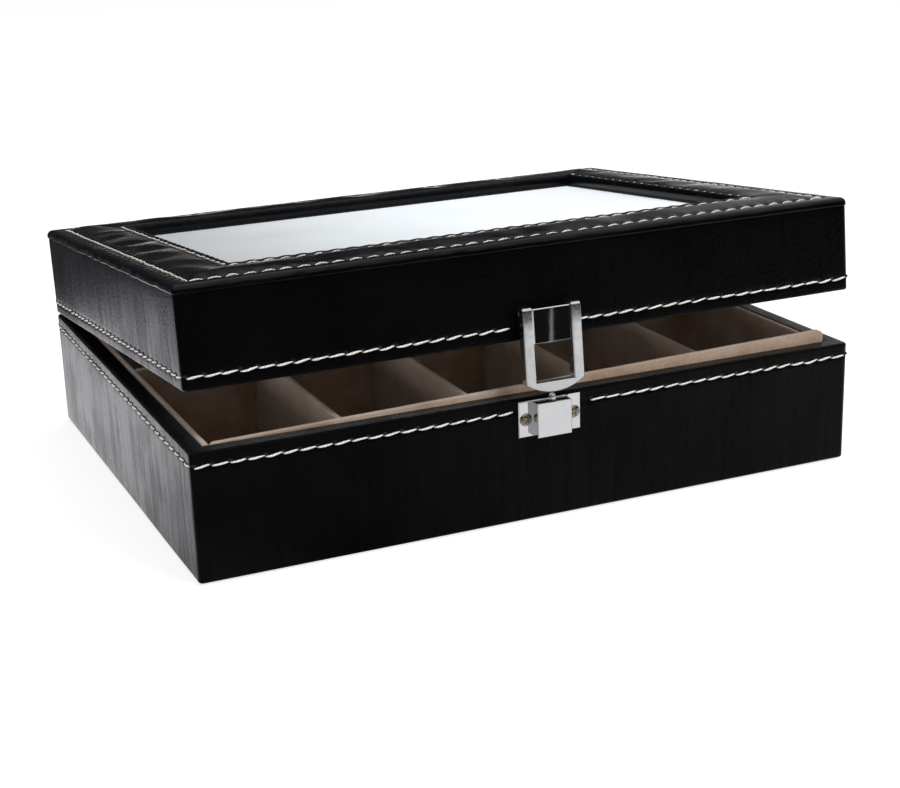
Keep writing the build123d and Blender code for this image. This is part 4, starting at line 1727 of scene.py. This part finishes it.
@dataclass
class DomedScrews:
    """Screws with a low dome and a cross recess.

    Attributes:
        name: name of the piece.
        node: the CAD node that it stands for.
        body: the body that it rides on.
        spots: places of the heads, x and z in millimetres.
        face_y: the plane that the heads lie on.
        outward: -1 where they face the front, 1 where they face the rear.
        head: radius of a head.
        rise: height of its dome.
        shank: radius of the shank.
        length: length of the shank.
        domes: rings of points from the middle of the dome towards its edge.
        around: points round a ring.
        edge: height of the dome's edge over the plane.
        under: height of the head's underside.
    """

    name: str
    node: str
    body: str
    spots: tuple[tuple[float, float], ...]
    face_y: float
    outward: float
    head: float
    rise: float
    shank: float
    length: float
    domes: int = 17
    around: int = 48
    edge: float = 0.03
    under: float = -0.02

    def points(self) -> np.ndarray:
        """Rings of every screw, from the middle of the head to the tip.

        The dome's height is rise.(1 - (r/head)^2.4), less a cross 0.8.rise deep with sloping sides. The shank
        is a plain cylinder.

        Returns:
            Array of screws, rings, points round a ring and coordinates.
        """
        around = np.linspace(0, 2 * np.pi, self.around, endpoint=False)[None, None, :]
        radius = np.concatenate([np.linspace(0.01, 0.97, self.domes), [1.0, 1.0]]) * self.head
        radius = np.concatenate([radius, [self.shank, self.shank]])[None, :, None]
        dome = self.rise * (1 - np.clip(radius / self.head, 0, 1) ** 2.4)
        tilt = np.linspace(0.35, 1.25, len(self.spots))[:, None, None]
        a, b = radius * np.cos(around + tilt), radius * np.sin(around + tilt)
        cross = np.maximum(self._arm(a, b), self._arm(b, a))
        depth = dome - 0.8 * self.rise * cross
        ring = np.arange(radius.shape[1])[None, :, None]
        depth = np.where(ring > self.domes, self.under, depth + self.edge)
        depth = np.where(ring == radius.shape[1] - 1, -self.length, depth)
        spots = np.array(self.spots)
        x = spots[:, 0, None, None] + radius * np.cos(around) * np.ones_like(depth)
        z = spots[:, 1, None, None] + radius * np.sin(around) * np.ones_like(depth)
        y = self.face_y + self.outward * depth
        return np.stack([x, y, z], -1)

    def _arm(self, beside: np.ndarray, along: np.ndarray) -> np.ndarray:
        """One bar of the cross, 1 in its floor and 0 outside.

        Args:
            beside: distance from the bar's middle line.
            along: distance along it.

        Returns:
            The bar.
        """
        wide, long_way = np.abs(beside) / self.head, np.abs(along) / self.head
        return smooth_step(0.19, 0.09, wide) * smooth_step(0.68, 0.52, long_way)

    def build(self, turn: LidTurn | None, finish: bpy.types.Material) -> bpy.types.Object:
        """Makes the piece, dresses it and sets it on its body.

        Args:
            turn: the lid's turn for screws of the lid, or None.
            finish: its material.

        Returns:
            The piece.
        """
        points = self.points()
        piece = tube_object(self.name, points if turn is None else turn.open(points))
        settle(piece, finish, self.body, self.node)
        return piece


def stood(name: str, data: bpy.types.ID, axes: list[np.ndarray], place: Triple) -> bpy.types.Object:
    """Links an object to the scene with the given axes and place.

    Args:
        name: its name.
        data: its camera or light.
        axes: directions of its own X, Y and Z.
        place: where it stands, in metres.

    Returns:
        The object.
    """
    made = bpy.data.objects.new(name, data)
    bpy.context.scene.collection.objects.link(made)
    matrix = np.eye(4)
    matrix[:3, :3], matrix[:3, 3] = np.stack(axes, 1), place
    made.matrix_world = Matrix(matrix.tolist())
    return made


@dataclass
class Studio:
    """Floor, light and camera.

    The camera stands where the photograph was taken from: its place, direction and roll come from a fit of
    the box's own edges.

    Attributes:
        place: where the camera stands, in metres.
        back: direction from what it looks at to the camera.
        roll: its turn about that direction, in radians.
        lens: its focal length, in millimetres.
        sensor: width of its picture, in millimetres.
    """

    place: Triple = (-0.26855, -0.62949, 0.23991)
    back: Triple = (-0.38173, -0.87150, 0.30785)
    roll: float = math.radians(-1.761)
    lens: float = 70.44
    sensor: float = 36.0

    def camera(self) -> None:
        """Makes the scene's camera."""
        data = bpy.data.cameras.new("Camera")
        data.lens, data.sensor_width, data.sensor_fit = self.lens, self.sensor, "HORIZONTAL"
        back = np.array(self.back) / np.linalg.norm(self.back)
        right = np.cross(-back, (0.0, 0.0, 1.0))
        right /= np.linalg.norm(right)
        up = np.cross(right, -back)
        c, s = math.cos(self.roll), math.sin(self.roll)
        axes = [c * right + s * up, -s * right + c * up, back]
        bpy.context.scene.camera = stood("Camera", data, axes, self.place)

    def lamp(self, name: str, place: Triple, aim: Triple, size: float, power: float) -> None:
        """Makes one soft square lamp, which glossy surfaces don't show.

        Args:
            name: name of the lamp.
            place: where it hangs, in metres.
            aim: what it points at.
            size: side of its square.
            power: in watts.
        """
        data = bpy.data.lights.new(name, "AREA")
        data.shape, data.size, data.energy = "SQUARE", size, power
        back = np.array(place, float) - np.array(aim, float)
        back /= np.linalg.norm(back)
        side = np.cross((0.0, 1.0, 0.001), back)
        side /= np.linalg.norm(side)
        stood(name, data, [side, np.cross(back, side), back], place).visible_glossy = False

    def world(self) -> None:
        """Makes the world: white to the eye, and to everything else a soft studio.

        The studio is pale above and behind on the right, and dim low down.
        """
        world = bpy.data.worlds.new("Studio")
        bpy.context.scene.world = world
        world.use_nodes = True
        world.node_tree.nodes.clear()
        sketch = Sketch(world.node_tree)
        way = sketch.node("SeparateXYZ", {0: sketch.node("TexCoord").outputs["Generated"]})
        sky = sketch.ramp(way.outputs["Z"], 0.30, 0.80, 0.03, 0.90)
        right = sketch.ramp(way.outputs["X"], 0.38, 0.70, 0.0, 0.9)
        behind = sketch.ramp(way.outputs["Y"], -0.1, 0.4, 0.0, 1.0)
        mirrored = sketch.math("MAXIMUM", sky, sketch.math("MULTIPLY", right, behind))
        filling = sketch.ramp(way.outputs["Z"], -0.1, 0.5, 0.08, 0.50)
        light = sketch.node("LightPath").outputs
        strength = sketch.between(light["Is Glossy Ray"], filling, mirrored)
        strength = sketch.chain("MAXIMUM", strength, light["Is Camera Ray"], light["Is Transmission Ray"])
        sketch.show(sketch.node("Background", {"Color": WHITE, "Strength": strength}), "OutputWorld")

    def floor(self) -> None:
        """Makes a pale floor that reads as white, with the box's soft shadow on it.

        What glossy surfaces see of it is bright on the left and in front of the latch, and dims away from the
        box. A thin strip of it, along the line x + 0.504.y + 0.0596 = 0, lights the bracket's upright edge.
        """
        corners = np.array([[-3.0, -1.3, -0.0001], [3.0, -1.3, -0.0001], [3.0, 3.0, -0.0001], [-3.0, 3.0, -0.0001]])
        mesh = bpy.data.meshes.new("floor")
        mesh.from_pydata(corners.tolist(), [], [[0, 1, 2, 3]])
        floor = bpy.data.objects.new("floor", mesh)
        bpy.context.scene.collection.objects.link(floor)
        material, sketch = new_material("Pale floor")
        light = sketch.node("LightPath").outputs
        seen = sketch.math("MAXIMUM", light["Is Camera Ray"], light["Is Transmission Ray"])
        place = sketch.node("SeparateXYZ", {0: sketch.node("TexCoord").outputs["Object"]})
        x, y = place.outputs["X"], place.outputs["Y"]
        beside = sketch.chain(
            "MULTIPLY",
            sketch.ramp(x, -0.25, -0.18, 0.4, 1.85),
            sketch.ramp(x, -0.12, -0.05, 1.0, 0.0),
            sketch.ramp(y, -0.15, 0.10, 0.3, 1.0),
            sketch.ramp(y, 0.20, 0.33, 1.0, 0.05),
            sketch.ramp(x, -0.6, -0.35, 0.0, 1.0),
        )
        ahead = sketch.math("ADD", sketch.ramp(x, -0.12, 0.04, 0.10, 0.75), sketch.ramp(x, 0.06, 0.22, 0.0, 0.30))
        ahead = sketch.math("MULTIPLY", ahead, sketch.ramp(y, -0.49, -0.44, 0.006, 1.0))
        off_strip = sketch.math("ABSOLUTE", sketch.math("MULTIPLY_ADD", y, 0.504, sketch.math("ADD", x, 0.0596)))
        far_out = sketch.ramp(y, -0.60, -0.58, 1.0, 0.0)
        strip = sketch.math("MULTIPLY", sketch.ramp(off_strip, 0.0006, 0.0020, 0.20, 0.0), far_out)
        mirrored = sketch.chain("MAXIMUM", beside, ahead, strip)
        tint = sketch.blend(sketch.ramp(x, -0.21, -0.17, 0.0, 1.0), (0.94, 0.93, 1.06, 1.0), (1.0, 0.98, 1.02, 1.0))
        tint = sketch.blend(sketch.ramp(x, -0.14, -0.10, 0.0, 1.0), tint, WHITE)
        bounce = sketch.node("BsdfDiffuse", {"Color": (0.65, 0.65, 0.65, 1.0)})
        mirror = sketch.node("Emission", {"Color": tint, "Strength": mirrored})
        unseen = sketch.node("MixShader", {0: light["Is Glossy Ray"], 1: bounce.outputs[0], 2: mirror.outputs[0]})
        glow = sketch.node("Emission", {"Color": WHITE, "Strength": 0.78})
        catch = sketch.node("BsdfDiffuse", {"Color": (0.34, 0.34, 0.34, 1.0)})
        shown = sketch.node("AddShader", {0: glow.outputs[0], 1: catch.outputs[0]})
        sketch.show(sketch.node("MixShader", {0: seen, 1: unseen.outputs[0], 2: shown.outputs[0]}))
        mesh.materials.append(material)

    def build(self) -> None:
        """Makes floor, light and camera, and sets the view."""
        bpy.context.scene.view_settings.view_transform = "Standard"
        self.camera()
        self.world()
        self.floor()
        self.lamp("Overhead", (0.1, 0.3, 1.5), (0.0, 0.0, 0.0), 1.5, 13.0)
        self.lamp("Front", (0.40, -0.80, 1.20), (0.0, -0.05, 0.03), 0.5, 13.0)
        self.lamp("Left", (-1.0, -0.25, 0.12), (-0.1, 0.0, 0.05), 0.3, 2.5)


# ---------------------------------------------------------------------------------------------
# The rows, and the box as a whole
# ---------------------------------------------------------------------------------------------

LATCH = (Side.FRONT, -11.0, 14.0)
BRACKET = (Side.FRONT, -6.2, 9.2)
HINGES = ((Side.REAR, -87.5, -62.5), (Side.REAR, 62.5, 87.5))
SATIN_NODES = ("hasp",)

PITCH = 6.1
ON_WALL = {"inset": 0.0, "lie": Lie.UPRIGHT, "end_room": 1.2, "pitch": PITCH}
ON_TOP = {"lie": Lie.FLAT, "end_room": 0.0, "pitch": PITCH, "slant": 0.48, "gap": 0.45, "hump": 0.68, "sunk": 1.0}

BASE_ROW = Row("base_stitching", height=42.0, covered=(LATCH, *HINGES), seed=5, **ON_WALL)
LID_ROW = Row("lid_stitching", height=51.9, covered=(BRACKET, *HINGES), seed=6, **ON_WALL)
OUTER_ROW = Row("outer_top_stitching", inset=SIZES.outer_row, height=SIZES.seam + 2.95, seed=7, **ON_TOP)
INNER_ROW = Row("inner_top_stitching", inset=SIZES.inner_row, height=SIZES.seam + 3.55, seed=8, **ON_TOP)


@dataclass
class WatchBox:
    """The box: the CAD nodes with their finishes, and the pieces that stand for some of them.

    Attributes:
        frame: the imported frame.
        finishes: the materials.
        turn: the lid's turn.
    """

    frame: dict
    finishes: Finishes
    turn: LidTurn

    def dress_nodes(self) -> None:
        """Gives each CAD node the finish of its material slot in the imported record."""
        slots = {part["node"]: part["material_slot"] for part in self.frame["record"]["subparts"]}
        for name, node in self.frame["nodes"].items():
            finish = self.finishes.satin if name in SATIN_NODES else self.finishes.for_slot(slots[name])
            for place in node.material_slots:
                place.material = finish
            if not node.material_slots:
                node.data.materials.append(finish)
            log.info("finish of %s: %s", name, finish.name)

    def covers(self) -> None:
        """Leather of the base and of the lid."""
        s = SIZES
        base = Cover("base_leather", "base_cover", "base", s.felt, s.base_top, BASE_ROW, True, s.turn_under, 3)
        lid = Cover("lid_leather", "lid_cover", "lid", s.lid_low, s.seam, LID_ROW, False, s.cavity_inset, 4)
        base.build(None, self.finishes.leather)
        lid.build(self.turn, self.finishes.leather)
        log.info("leather covers made")

    def stitching(self) -> None:
        """The four rows of stitches, and a black plug in each hole as the painted shade inside it."""
        for row in (BASE_ROW, LID_ROW, OUTER_ROW, INNER_ROW):
            on_base = row is BASE_ROW
            points = Stitching(row).points()
            piece = tube_object(row.name, points if on_base else self.turn.open(points))
            piece.data.materials.append(self.finishes.cream if row.lie is Lie.FLAT else self.finishes.thread)
            # painted shade: a black felt plug in each stitch hole stands for the shade inside it
            shade_plugs = Stitching(row).shade_plugs()
            holes = tube_object(row.name + "_holes", shade_plugs if on_base else self.turn.open(shade_plugs))
            holes.data.materials.append(self.finishes.felt)
            for made in (piece, holes):
                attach(made, "base" if on_base else "lid")
            log.info("%s: %d stitches", row.name, len(points))

    def padded_top(self) -> None:
        """The padded frame round the window."""
        piece = PaddedTop(OUTER_ROW, INNER_ROW).build(self.turn, self.finishes.padded)
        log.info("%s made", piece.name)

    def screws(self) -> None:
        """Domed screws on the catch plate and on the hinges."""
        catch = ((-8.05, 39.0), (11.05, 39.0))
        hinge_x = tuple(m + d for m in (-75.0, 75.0) for d in (-7.5, 7.5))
        base = tuple((x, 39.9) for x in hinge_x)
        lid = tuple((x, 54.4) for x in hinge_x)
        screw = {"face_y": -100.8, "outward": -1.0, "head": 2.4, "rise": 0.85, "shank": 1.0, "length": 5.0}
        tack = {"face_y": 100.8, "outward": 1.0, "head": 1.6, "rise": 0.6, "shank": 0.75, "length": 4.4}
        for screws, turn in (
            (DomedScrews("catch_screw_heads", "catch_screws", "base", catch, **screw), None),
            (DomedScrews("hinge_base_screw_heads", "hinge_base_tacks", "base", base, **tack), None),
            (DomedScrews("hinge_lid_screw_heads", "hinge_lid_tacks", "lid", lid, **tack), self.turn),
        ):
            screws.build(turn, self.finishes.nickel)
        log.info("screw heads made")

    def build(self) -> None:
        """Makes and dresses everything, in order."""
        self.dress_nodes()
        self.covers()
        self.padded_top()
        self.stitching()
        self.screws()
        BallSpring().build(self.finishes.steel)


def main() -> None:
    """Loads the frame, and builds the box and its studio."""
    logging.basicConfig(level=logging.INFO, format="%(name)s: %(message)s")
    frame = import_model()
    Studio().build()
    WatchBox(frame, Finishes(), LidTurn.of_joint(frame["joints"])).build()
    log.info("sizes written")


if __name__ == "__main__":
    main()
